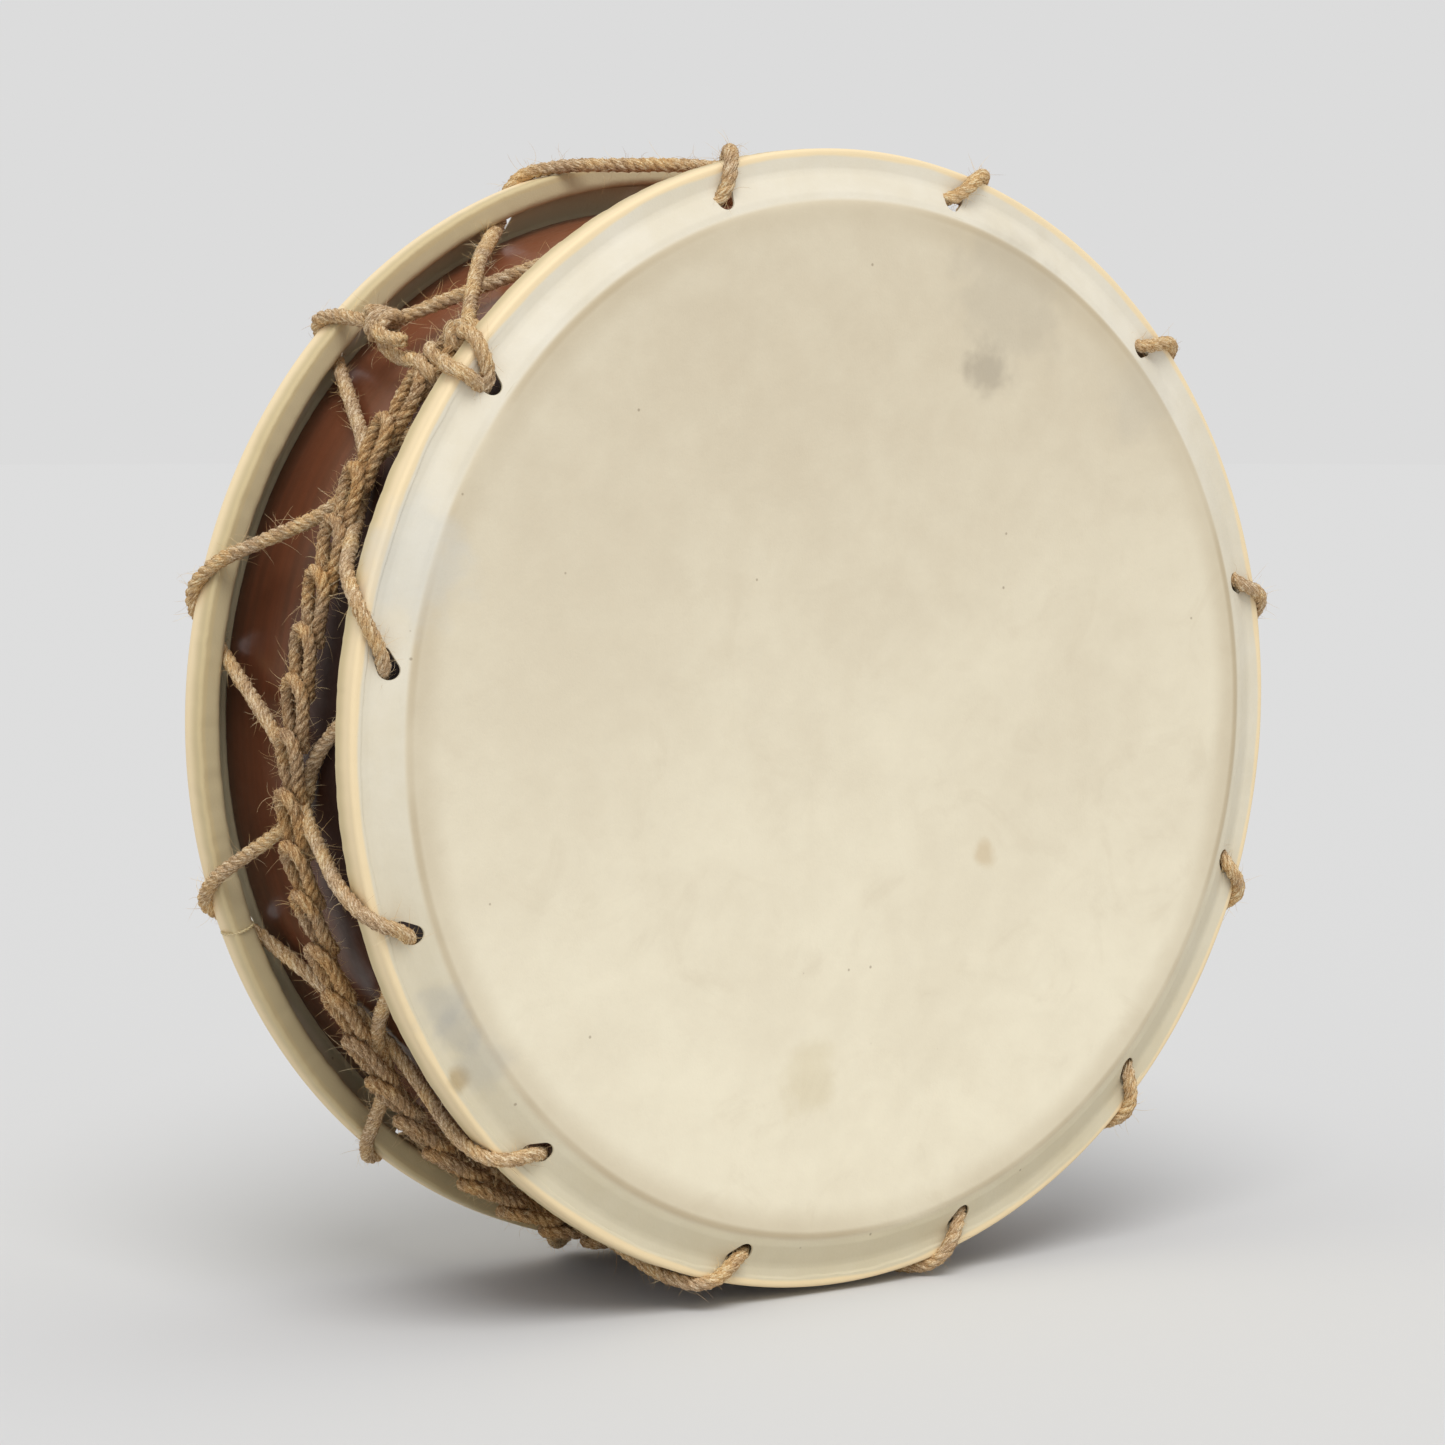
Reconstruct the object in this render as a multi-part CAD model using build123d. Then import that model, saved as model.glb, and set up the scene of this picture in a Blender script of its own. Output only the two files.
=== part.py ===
from build123d import *
import math
import os

# A shallow two-headed frame drum, standing on its rim. Its axis runs along Y, the front
# head faces -Y, and +Z is up. Angles run round the drum from the top towards -X.

# ------------------------------------------------------------ driving dimensions, mm
shell_outer_radius = 202.5     # bent-wood shell, a nominal 16 inch drum
shell_length = 135.5           # bearing edge to bearing edge
shell_wall = 7.0
bearing_edge_radius = 2.0

inner_ring_thickness = 6.0     # reinforcing rings glued inside each end of the shell
inner_ring_height = 18.0
inner_ring_setback = 1.5       # ring stands back from the bearing edge
inner_ring_chamfer = 1.5

skin_thickness = 1.0
head_rise = 6.6                # the head stands this far proud of the hoop's face

lacing_gap = 10.5              # open gap between shell and hoop, where the rope passes
hoop_width = 10.0              # across the skin-covered hoop, radially
hoop_height = 12.0             # across the skin-covered hoop, along the axis
hoop_corner = 3.0

rope_diameter = 6.0
hole_room = 3.6                # how much wider the punched holes are than the rope
hole_inset = 3.0               # hole centre to the hoop's inner side
worn_room = 1.4                # how much wider than the rope the notch is that it wears
worn_share = 0.28              # of the way from the hole to the rope's rim crossing

knot_radius = 8.0
knot_length = 13.0
chain_diameter = 13.0
thread_diameter = 1.4
thread_angle = 111.0

glue_gap = 0.1
touch_gap = 0.2
crossing_gap = 0.3
crossing_room = 2.1            # between two ropes where one passes over the other
chord_room = 1.8               # keeps a rope's straight runs clear of the round shell

bend_share = 0.45              # of the shorter run, that a cord's bend takes up
lacing_bend_share = 0.3        # the same for the lacing, whose runs are long
widest_bend = 400.0            # largest bend radius that a cord is given

# Where the holes were punched by hand and where the rope crosses each rim on its way to
# them, in degrees round from the top towards -X.
front_hole_angles = (16, 51, 82, 109, 137.5, 166.5, 196.5, 224.5, 251.5, 283.5, 314, 345.5)
front_rim_angles = (14, 48.5, 77, 106, 134, 163, 192.5, 221.5, 249, 281, 311.5, 342.5)
rear_hole_angles = (21.3, 46.8, 81, 112, 143.5, 171, 200, 228, 256, 287, 317, 349)
rear_rim_angles = (18, 46.2, 77, 108, 142, 168, 196.5, 224.5, 252.5, 283.5, 313.5, 345.5)

# Where the two lacing ropes cross: degrees, place along the axis, and how far the crossing
# is lifted off the shell.
crossings = (
    (36, 1, 3.5), (63, -14, 0), (95, -2, 0), (126, 4, 0), (152, 8, 0), (181, 2, 0),
    (210, -2, 0), (238, 2, 0), (267, 0, 0), (298, -3, 0), (330, 0, 0), (363.5, 0, 3.5),
)

# Knots on the lacing: degrees, place along the axis, and distance off the shell.
front_knot_spot = (46.8, -41.8, 16.5)
rear_knot_spot = (45.2, 24, 17)
first_rise = 1.0               # degrees between a knot's first edge point and its rim point

# Middle of the cut end's tip, as the rear knot's spot is given, and the cord that runs
# from the rear knot to the start of the chain.
cut_end_tip = (47.4, -1, 17)
tie_cord_route = ((46.4, 24, 13.5), (47.9, 15, 9.5), (48.4, -9, 9.5), (50, -34, 13))

# Route of the chain-plaited rope that gathers the crossings: degrees, place along the
# axis, and how far its middle stands off the shell.
chain_route = (
    (49.3, -35, 14.5), (55.6, -25, 13), (64, -17, 13.2), (79, -14, 12.6), (95, -3, 13.2),
    (109, -1, 12.6), (124, 5, 13.4), (138, 8, 15.5), (152, 7, 18.5), (166, 5, 14.0),
    (181, 2, 13.2), (196, -3, 12.6), (210, -1, 13.2), (224, 3, 12.6), (238, 1, 13.2),
    (253, -3, 12.6), (267, 0, 13.2), (283, 2, 12.6), (298, -2, 13.2), (314, -4, 12.6),
    (330, 0, 13.2), (336, 1.5, 12.8),
)

# ------------------------------------------------------------ worked-out sizes
rope_radius = rope_diameter / 2
rope_bend = hoop_corner + rope_radius
hole_diameter = rope_diameter + hole_room
worn_notch = rope_diameter + worn_room
hoop_inner_radius = shell_outer_radius + lacing_gap
hoop_outer_radius = hoop_inner_radius + hoop_width
head_plane = shell_length / 2 + skin_thickness
hoop_face = head_plane - head_rise
hoop_back = hoop_face - hoop_height
hole_radius = hoop_inner_radius - hole_inset
crease_radius = shell_outer_radius + skin_thickness / 2
rope_over_rim = hoop_outer_radius + rope_radius + touch_gap
rope_over_face = hoop_face + rope_radius + touch_gap
rope_in_gap = hoop_inner_radius - rope_radius - 2 * touch_gap
inner_crossing = shell_outer_radius + rope_radius + chord_room
outer_crossing = inner_crossing + rope_diameter + crossing_room
upward = (Align.CENTER, Align.CENTER, Align.MIN)


def place(angle, radius, along):
    """Point at an angle round the drum, a distance from its axis and a place along it."""
    turn = math.radians(angle)
    return Vector(-radius * math.sin(turn), along, radius * math.cos(turn))


def onto_front(solid):
    """Turn a solid built outwards along +Z so that it faces the front, -Y."""
    return Rot(90, 0, 0) * solid


def onto_rear(solid):
    """Turn a solid built outwards along +Z so that it faces the rear, +Y."""
    return Rot(-90, 0, 0) * solid


def ring_profile(inner, outer, low, high):
    """Rectangle in the XZ plane, from one radius to another and one height to another."""
    middle = Pos((inner + outer) / 2, (low + high) / 2)
    return Plane.XZ * middle * Rectangle(outer - inner, high - low)


def spin(profile):
    """Turn a profile in the XZ plane round the drum's axis."""
    return revolve(profile, Axis.Z, 360)


def make_shell():
    """Bent-wood shell with both bearing edges rounded."""
    half = shell_length / 2
    profile = ring_profile(shell_outer_radius - shell_wall, shell_outer_radius, -half, half)
    outer_corners = profile.vertices().sort_by(Axis.X)[-2:]
    profile = fillet(outer_corners, bearing_edge_radius)
    return onto_front(spin(profile))


def make_inner_ring():
    """Reinforcing ring for the inside of one end of the shell."""
    outer = shell_outer_radius - shell_wall - glue_gap
    high = shell_length / 2 - inner_ring_setback
    profile = ring_profile(outer - inner_ring_thickness, outer, high - inner_ring_height, high)
    inner_corners = profile.vertices().sort_by(Axis.X)[:2]
    profile = chamfer(inner_corners, inner_ring_chamfer)
    return spin(profile)


def hoop_section(inset, corner):
    """Rounded section of the hoop, drawn in from the skin's outside by inset."""
    profile = ring_profile(
        hoop_inner_radius + inset, hoop_outer_radius - inset, hoop_back + inset, hoop_face - inset
    )
    return fillet(profile.vertices(), corner)


def make_hoop():
    """Bent-wood flesh hoop inside the skin's lap."""
    inset = skin_thickness + glue_gap
    return spin(hoop_section(inset, hoop_corner - skin_thickness))


def make_skin(hole_angles, rim_angles, hand):
    """Skin stretched over the bearing edge and lapped round its hoop, with rope holes."""
    lap = spin(hoop_section(0, hoop_corner))
    lap -= spin(hoop_section(skin_thickness, hoop_corner - skin_thickness))
    seat_radius = hoop_inner_radius + hoop_corner / 2
    lap_middle = hoop_inner_radius + hoop_width / 2
    slope = math.atan2(head_rise, seat_radius - crease_radius)
    inner_crease = crease_radius - skin_thickness * math.tan(slope / 2)
    outline = Polyline(
        (0, 0, head_plane - skin_thickness),
        (0, 0, head_plane),
        (crease_radius, 0, head_plane),
        (seat_radius, 0, hoop_face),
        (lap_middle, 0, hoop_face),
        (lap_middle, 0, hoop_face - skin_thickness),
        (seat_radius, 0, hoop_face - skin_thickness),
        (inner_crease, 0, head_plane - skin_thickness),
        close=True,
    )
    skin = spin(make_face(outline)) + lap
    deep = head_rise + skin_thickness
    floor = hoop_face - skin_thickness / 2
    drill = Cylinder(hole_diameter / 2, deep, align=upward)
    notch = Cylinder(worn_notch / 2, deep, align=upward)
    for hole, rim in zip(hole_angles, rim_angles):
        worn = hole + worn_share * (rim - hole)
        punched = Rot(0, 0, hand * (90 + hole)) * Pos(hole_radius, 0, floor) * drill
        punched += Rot(0, 0, hand * (90 + worn)) * Pos(hoop_inner_radius, 0, floor) * notch
        skin -= punched
    return skin


def tube(points, radii, diameter):
    """Round cord along straight runs joined by tangent arcs."""
    path = FilletPolyline(*points, radius=radii)
    section = Plane(path @ 0, z_dir=path % 0) * Circle(diameter / 2)
    return sweep(section, path=path), path


def off_shell(spot):
    """Point at an angle round the drum, a place along it and a distance off the shell."""
    angle, along, off = spot
    return place(angle, shell_outer_radius + off, along)


def open_radii(points, share=bend_share):
    """Largest tangent arcs that the runs on each side of every inner point allow."""
    radii = []
    for before, here, after in zip(points, points[1:], points[2:]):
        run = min((here - before).length, (after - here).length)
        half_turn = math.radians((here - before).get_angle(after - here)) / 2
        radii.append(min(share * run / math.tan(half_turn), widest_bend))
    return radii


def unwound(angles, step):
    """Angle for a step of the lacing, counted on past a full turn."""
    turns, index = divmod(step, len(angles))
    return angles[index] + 360 * turns


def crossing_point(step, upper):
    """Point where a lacing rope crosses the other one, over it or under it."""
    angle, along, lift = crossings[step % len(crossings)]
    radius = outer_crossing if upper else inner_crossing
    return place(angle, radius + lift, along)


def rim_points(step, front):
    """Rope points over one rim: hoop's back edge, its outer edge, and above the hole."""
    side = -1 if front else 1
    hole = unwound(front_hole_angles if front else rear_hole_angles, step)
    rim = unwound(front_rim_angles if front else rear_rim_angles, step)
    cross = crossings[step - 1][0]
    back_edge = hoop_back - rope_radius / 2
    back = cross + back_edge / rope_over_face * (rim - cross)
    if step == 1:
        back = rim - first_rise
    return [
        place(back, rope_over_rim, side * back_edge),
        place(rim, rope_over_rim, side * rope_over_face),
        place(hole, rope_in_gap, side * rope_over_face),
    ]


def knot_place(front):
    """Middle of the knot beside one rim, and the rope's direction through it."""
    middle = off_shell(front_knot_spot if front else rear_knot_spot)
    return middle, (rim_points(1, front)[0] - middle).normalized()


def hoop_room(front):
    """Ring that a lapped hoop fills, with room to touch it, for what lies against the hoop."""
    ring = ring_profile(
        hoop_inner_radius - touch_gap, hoop_outer_radius + touch_gap,
        hoop_back - touch_gap, hoop_face + touch_gap
    )
    return onto_front(spin(ring)) if front else onto_rear(spin(ring))


def make_knot(front):
    """Turns of rope drawn tight round the lacing, as one lobed barrel against the hoop."""
    middle, along = knot_place(front)
    core = rope_radius + touch_gap
    barrel = Plane.XZ * Pos(knot_radius / 2, 0) * Rectangle(knot_radius, knot_length)
    barrel = fillet(barrel.vertices().sort_by(Axis.X)[-2:], rope_radius)
    groove = Plane.XZ * Pos(knot_radius + rope_radius / 2, 0) * Circle(rope_radius)
    solid = Plane(middle, z_dir=along) * revolve(barrel - groove, Axis.Z, 360)
    solid -= Pos(*middle) * Sphere(core)
    for neighbour in (rim_points(1, front)[0], crossing_point(0, front)):
        bore = Cylinder(core, 2 * knot_length, align=upward)
        solid -= Plane(middle, z_dir=neighbour - middle) * bore
    solid -= hoop_room(front)
    return solid.solids().sort_by(SortBy.VOLUME)[-1]


def make_lacing(first_front):
    """One lacing rope, once round the drum, both ends meeting inside its knot."""
    middle, along = knot_place(first_front)
    points = [middle + along * touch_gap]
    fixed = []
    steps = len(front_hole_angles)
    for step in range(1, steps + 1):
        front = first_front == (step % 2 == 1)
        fixed += [len(points), len(points) + 1]
        points += rim_points(step, front)
        points.append(crossing_point(step, first_front))
    points.append(middle - along * touch_gap)
    radii = open_radii(points, share=lacing_bend_share)
    for index in fixed:
        radii[index] = rope_bend
    return tube(points, radii, rope_diameter), points, radii


def knot_blank(front):
    """Plain cylinder that stands for a knot when a cord is trimmed to it."""
    middle, along = knot_place(front)
    return Plane(middle, z_dir=along) * Cylinder(knot_radius, knot_length)


def make_chain(lacing_tubes):
    """Chain-plaited rope round the middle, let out where the lacing passes through it."""
    points = [knot_place(True)[0]]
    points += [off_shell(spot) for spot in chain_route]
    solid, path = tube(points, open_radii(points), chain_diameter)
    solid -= knot_blank(True)
    for lacing in lacing_tubes:
        solid -= lacing
    return solid.solids().sort_by(SortBy.VOLUME)[-1], path, open_radii(points)


def lacing_clearance(points, radii):
    """Lacing rope swollen by the crossing gap, for the passages through the chain."""
    swollen, _ = tube(points, radii, rope_diameter + 2 * crossing_gap)
    return swollen


def make_cut_end():
    """Cut end of the rope, standing out of the rear knot towards the front."""
    angle, along, off = rear_knot_spot
    start = off_shell((angle, along, off + rope_radius))
    run = off_shell(cut_end_tip) - start
    end = Plane(start, z_dir=run) * Cylinder(rope_radius, run.length, align=upward)
    end -= knot_blank(False)
    return end.solids().sort_by(SortBy.VOLUME)[-1]


def make_tie_cord(chain):
    """Cord from the rear knot across to the start of the chain."""
    points = [off_shell(spot) for spot in tie_cord_route]
    cord, _ = tube(points, open_radii(points), rope_diameter)
    cord -= knot_blank(False)
    cord -= knot_blank(True)
    cord -= chain
    return cord.solids().sort_by(SortBy.VOLUME)[-1]


def make_thread():
    """Thin thread tied round the rear hoop."""
    off = thread_diameter / 2 + touch_gap
    inner = hoop_inner_radius - off
    outer = hoop_outer_radius + off
    points = [
        place(thread_angle, inner, hoop_face - hoop_corner),
        place(thread_angle, inner, hoop_back - off),
        place(thread_angle, outer, hoop_back - off),
        place(thread_angle, outer, hoop_face + off),
        place(thread_angle, hoop_outer_radius - hoop_width / 2, hoop_face + off),
    ]
    return tube(points, [hoop_corner / 2 + off] * 3, thread_diameter)[0]


def build():
    """Make every piece about the drum's middle, by node name."""
    pieces = {"shell": make_shell()}
    for name, turn, holes, rims, hand in (
        ("front", onto_front, front_hole_angles, front_rim_angles, 1),
        ("rear", onto_rear, rear_hole_angles, rear_rim_angles, -1),
    ):
        pieces[name + "_inner_ring"] = turn(make_inner_ring())
        pieces[name + "_flesh_hoop"] = turn(make_hoop())
        pieces[name + "_skin"] = turn(make_skin(holes, rims, hand))
    clearances = []
    for name, first_front in (("lacing_rope_a", True), ("lacing_rope_b", False)):
        (solid, path), points, radii = make_lacing(first_front)
        pieces[name] = solid
        clearances.append(lacing_clearance(points, radii))
        section = math.pi * rope_radius**2
        print(name, "length", round(path.length, 1), "volume ratio",
              round(solid.volume / (section * path.length), 4),
              "radii", sorted({round(radius, 1) for radius in radii}))
    pieces["front_knot"] = make_knot(True)
    pieces["rear_knot"] = make_knot(False)
    chain, path, radii = make_chain(clearances)
    pieces["chain_plait"] = chain
    print("chain_plait length", round(path.length, 1), "radii", [round(radius) for radius in radii])
    pieces["cut_end"] = make_cut_end()
    pieces["tie_cord"] = make_tie_cord(chain)
    pieces["rear_hoop_thread"] = make_thread()
    return pieces


def write(pieces):
    """Stand the drum on the ground plane, its axis over the Y axis, and write each piece."""
    os.makedirs("parts", exist_ok=True)
    lowest = min(piece.bounding_box().min.Z for piece in pieces.values())
    for name, piece in pieces.items():
        export_step(Pos(0, 0, -lowest) * piece, f"parts/{name}.step")
    print("the drum's axis is", round(-lowest, 3), "above the ground")


write(build())
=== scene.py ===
"""Rope-tensioned frame drum: the pieces that are seen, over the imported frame, in metres.

The drum stands on its rim. Its axis runs along Y, the front head faces -Y and +Z is up.
Angles run round the drum from the top towards -X, and "along" is a place on its axis.
"""

import logging
import math
import random
from collections.abc import Callable, Sequence
from dataclasses import dataclass, field
from enum import Enum

import bmesh
import bpy
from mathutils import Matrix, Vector, noise


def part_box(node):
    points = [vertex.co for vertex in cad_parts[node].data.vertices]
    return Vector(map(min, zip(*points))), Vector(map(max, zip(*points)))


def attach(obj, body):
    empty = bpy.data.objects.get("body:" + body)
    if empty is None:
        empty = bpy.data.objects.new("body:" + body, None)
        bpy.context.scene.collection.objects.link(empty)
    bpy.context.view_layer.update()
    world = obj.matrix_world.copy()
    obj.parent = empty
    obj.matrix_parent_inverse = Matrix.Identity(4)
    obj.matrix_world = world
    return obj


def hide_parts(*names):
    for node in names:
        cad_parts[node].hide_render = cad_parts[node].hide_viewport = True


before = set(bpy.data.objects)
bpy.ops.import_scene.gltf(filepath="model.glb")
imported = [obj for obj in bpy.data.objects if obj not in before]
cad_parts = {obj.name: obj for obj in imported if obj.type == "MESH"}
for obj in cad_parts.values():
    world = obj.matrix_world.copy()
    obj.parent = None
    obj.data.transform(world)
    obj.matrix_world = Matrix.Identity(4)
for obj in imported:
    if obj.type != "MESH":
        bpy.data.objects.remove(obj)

LOG = logging.getLogger("frame_drum")
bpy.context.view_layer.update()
ROOT = "root"
MM = 0.001

Colour = tuple[float, float, float, float]
Spot = tuple[float, float, float]


def srgb(red: int, green: int, blue: int) -> Colour:
    """Linear colour for a display colour.

    Args:
        red: Red, from 0 to 255.
        green: Green, from 0 to 255.
        blue: Blue, from 0 to 255.

    Returns:
        The colour as the shader takes it, with full alpha.
    """
    shares = [value / 255 for value in (red, green, blue)]
    linear = [s / 12.92 if s <= 0.04045 else ((s + 0.055) / 1.055) ** 2.4 for s in shares]
    return (linear[0], linear[1], linear[2], 1.0)


def short_way(angle: float, middle: float) -> float:
    """Degrees from a middle angle to another, from -180 to 180."""
    return (angle - middle + 180) % 360 - 180


def smooth_step(low: float, high: float, value: float) -> float:
    """Smooth rise from 0 at low to 1 at high.

    Args:
        low: Where the rise starts.
        high: Where it ends.
        value: Where it is read.

    Returns:
        A share from 0 to 1.
    """
    share = min(max((value - low) / (high - low), 0.0), 1.0)
    return share * share * (3 - 2 * share)


# ---------------------------------------------------------------- the drum's own sizes


class Face(Enum):
    """The drum's two ends, by the way that each faces along its axis."""

    FRONT = -1
    REAR = 1


@dataclass(frozen=True)
class DrumSizes:
    """Sizes that several pieces share, in metres."""

    axis_height: float
    shell_radius: float = 0.2025
    head_plane: float = 0.06875
    skin: float = 0.001
    crease_radius: float = 0.203
    hoop_face: float = 0.06215
    hoop_back: float = 0.05015
    hoop_inner: float = 0.213
    hoop_outer: float = 0.223
    hoop_corner: float = 0.003
    hole_radius: float = 0.210
    rope_radius: float = 0.003
    rope_over_rim: float = 0.2262
    rope_over_face: float = 0.06535
    rope_in_gap: float = 0.2096
    inner_crossing: float = 0.2073
    outer_crossing: float = 0.2154

    def place(self, angle: float, radius: float, along: float) -> Vector:
        """Point at an angle round the drum.

        Args:
            angle: Degrees from the top towards -X.
            radius: Distance from the drum's axis.
            along: Place along the axis.

        Returns:
            The point in the row frame.
        """
        turn = math.radians(angle)
        return Vector((-radius * math.sin(turn), along, self.axis_height + radius * math.cos(turn)))

    def off_shell(self, spot: Spot) -> Vector:
        """Point at an angle, a place along the axis and a distance off the shell.

        Args:
            spot: Degrees, place along the axis, and distance off the shell.

        Returns:
            The point in the row frame.
        """
        angle, along, off = spot
        return self.place(angle, self.shell_radius + off, along)

    def outward(self, point: Vector) -> Vector:
        """Direction away from the drum's axis at a point."""
        return Vector((point.x, 0, point.z - self.axis_height)).normalized()

    def buried(self, point: Vector) -> bool:
        """True for a point inside the shell or a hoop, or under the ground."""
        radius = math.hypot(point.x, point.z - self.axis_height)
        if radius < self.shell_radius or point.z < 0:
            return True
        inside_hoop = self.hoop_inner < radius < self.hoop_outer
        return inside_hoop and self.hoop_back < abs(point.y) < self.hoop_face + self.skin


# ---------------------------------------------------------------- shader nodes


class Sheet:
    """A node tree, with short calls that place and link its nodes."""

    def __init__(self, tree: bpy.types.NodeTree) -> None:
        """Keep the tree and place the next node at its left."""
        self.tree = tree
        self.column = 0

    def node(self, kind: str, inputs: dict | None = None, **settings: object) -> bpy.types.Node:
        """Place one node.

        Args:
            kind: The node's type name.
            inputs: Socket name or number to a value or to another node's output.
            settings: Properties of the node itself.

        Returns:
            The node.
        """
        made = self.tree.nodes.new(kind)
        made.location = (self.column * 180, -(self.column % 5) * 160)
        self.column += 1
        for name, value in settings.items():
            setattr(made, name, value)
        for key, value in (inputs or {}).items():
            self.feed(made.inputs[key], value)
        return made

    def feed(self, socket: bpy.types.NodeSocket, value: object) -> None:
        """Link an output to a socket, or set its own value."""
        if isinstance(value, bpy.types.NodeSocket):
            self.tree.links.new(value, socket)
        else:
            socket.default_value = value

    def math(self, operation: str, *values: object, clamp: bool = False) -> bpy.types.NodeSocket:
        """Result of a Math node on up to three values."""
        made = self.node("ShaderNodeMath", dict(enumerate(values)), operation=operation)
        made.use_clamp = clamp
        return made.outputs[0]

    def vector(self, operation: str, *values: object) -> bpy.types.Node:
        """A Vector Math node on up to two vectors."""
        return self.node("ShaderNodeVectorMath", dict(enumerate(values)), operation=operation)

    def noise(self, vector: object, scale: float, detail: float = 3, rough: float = 0.5,
              distortion: float = 0.0) -> bpy.types.NodeSocket:
        """Height of a noise texture at a vector."""
        made = self.node(
            "ShaderNodeTexNoise",
            {"Vector": vector, "Scale": scale, "Detail": detail, "Roughness": rough,
             "Distortion": distortion},
        )
        return made.outputs[0]

    def rise(self, value: object, low: float, high: float) -> bpy.types.NodeSocket:
        """Smooth rise from 0 to 1 while a value goes from low to high."""
        made = self.node(
            "ShaderNodeMapRange",
            {"Value": value, "From Min": low, "From Max": high},
            interpolation_type="SMOOTHSTEP",
        )
        return made.outputs[0]

    def span(self, value: object, low: float, high: float, to_low: float,
             to_high: float) -> bpy.types.NodeSocket:
        """A value carried from one range to another."""
        made = self.node(
            "ShaderNodeMapRange",
            {"Value": value, "From Min": low, "From Max": high, "To Min": to_low,
             "To Max": to_high},
        )
        return made.outputs[0]

    def blend(self, share: object, first: object, second: object,
              how: str = "MIX") -> bpy.types.NodeSocket:
        """Mix of two colours by a share."""
        made = self.node("ShaderNodeMix", data_type="RGBA", blend_type=how)
        self.feed(made.inputs[0], share)
        self.feed(made.inputs[6], first)
        self.feed(made.inputs[7], second)
        return made.outputs[2]

    def ramp(self, value: object, stops: Sequence[tuple[float, Colour]]) -> bpy.types.NodeSocket:
        """Colour ramp over a value, with its stops."""
        made = self.node("ShaderNodeValToRGB", {0: value})
        band = made.color_ramp
        while len(band.elements) < len(stops):
            band.elements.new(0.5)
        for element, (position, colour) in zip(band.elements, stops):
            element.position = position
            element.color = colour
        return made.outputs[0]


def new_group(name: str, inputs: dict[str, str], outputs: dict[str, str],
              fill: Callable[[Sheet, bpy.types.Node, bpy.types.Node], None]) -> bpy.types.NodeTree:
    """A shader node group with named sockets, built once.

    Args:
        name: The group's name.
        inputs: Socket name to socket type, going in.
        outputs: Socket name to socket type, coming out.
        fill: Builds the nodes between the group's input and output.

    Returns:
        The group.
    """
    known = bpy.data.node_groups.get(name)
    if known is not None:
        return known
    tree = bpy.data.node_groups.new(name, "ShaderNodeTree")
    for socket, kind in inputs.items():
        tree.interface.new_socket(socket, in_out="INPUT", socket_type=kind)
    for socket, kind in outputs.items():
        tree.interface.new_socket(socket, in_out="OUTPUT", socket_type=kind)
    sheet = Sheet(tree)
    entry = sheet.node("NodeGroupInput")
    leave = sheet.node("NodeGroupOutput")
    fill(sheet, entry, leave)
    return tree


FLOAT = "NodeSocketFloat"
VECTOR = "NodeSocketVector"


def cloud_group() -> bpy.types.NodeTree:
    """Soft cloudy patches over a finer mottle, as in hide and old wood."""

    def fill(sheet: Sheet, entry: bpy.types.Node, leave: bpy.types.Node) -> None:
        """Mix a broad and a fine noise by the Fine input."""
        place = entry.outputs["Vector"]
        broad = sheet.node(
            "ShaderNodeTexNoise",
            {"Vector": place, "Scale": entry.outputs["Scale"], "Detail": 3.0, "Roughness": 0.5,
             "Distortion": 0.6},
        )
        finer = sheet.math("MULTIPLY", entry.outputs["Scale"], 7.0)
        fine = sheet.node(
            "ShaderNodeTexNoise", {"Vector": place, "Scale": finer, "Detail": 5.0, "Roughness": 0.6}
        )
        mixed = sheet.node(
            "ShaderNodeMix",
            {0: entry.outputs["Fine"], 2: broad.outputs[0], 3: fine.outputs[0]},
            data_type="FLOAT",
        )
        sheet.feed(leave.inputs["Cloud"], sheet.rise(mixed.outputs[0], 0.3, 0.7))

    return new_group("cloudy_patches", {"Vector": VECTOR, "Scale": FLOAT, "Fine": FLOAT},
                     {"Cloud": FLOAT}, fill)


def fibre_group() -> bpy.types.NodeTree:
    """Long thin fibres, along a strand or round the drum."""

    def fill(sheet: Sheet, entry: bpy.types.Node, leave: bpy.types.Node) -> None:
        """Two noises read with the vector's third axis scaled by the Stretch input."""
        stretch = sheet.node(
            "ShaderNodeCombineXYZ", {0: 1.0, 1: 1.0, 2: entry.outputs["Stretch"]}
        )
        long_way = sheet.vector("MULTIPLY", entry.outputs["Vector"], stretch.outputs[0]).outputs[0]
        thick = sheet.node(
            "ShaderNodeTexNoise",
            {"Vector": long_way, "Scale": entry.outputs["Scale"], "Detail": 2.0, "Roughness": 0.5},
        )
        finer = sheet.math("MULTIPLY", entry.outputs["Scale"], 2.7)
        thin = sheet.node(
            "ShaderNodeTexNoise",
            {"Vector": long_way, "Scale": finer, "Detail": 4.0, "Roughness": 0.65},
        )
        mean = sheet.math("MULTIPLY", sheet.math("ADD", thick.outputs[0], thin.outputs[0]), 0.5)
        sheet.feed(leave.inputs["Fibre"], sheet.rise(mean, 0.34, 0.66))
        sheet.feed(leave.inputs["Height"], mean)

    return new_group("long_fibres", {"Vector": VECTOR, "Scale": FLOAT, "Stretch": FLOAT},
                     {"Fibre": FLOAT, "Height": FLOAT}, fill)


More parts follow.
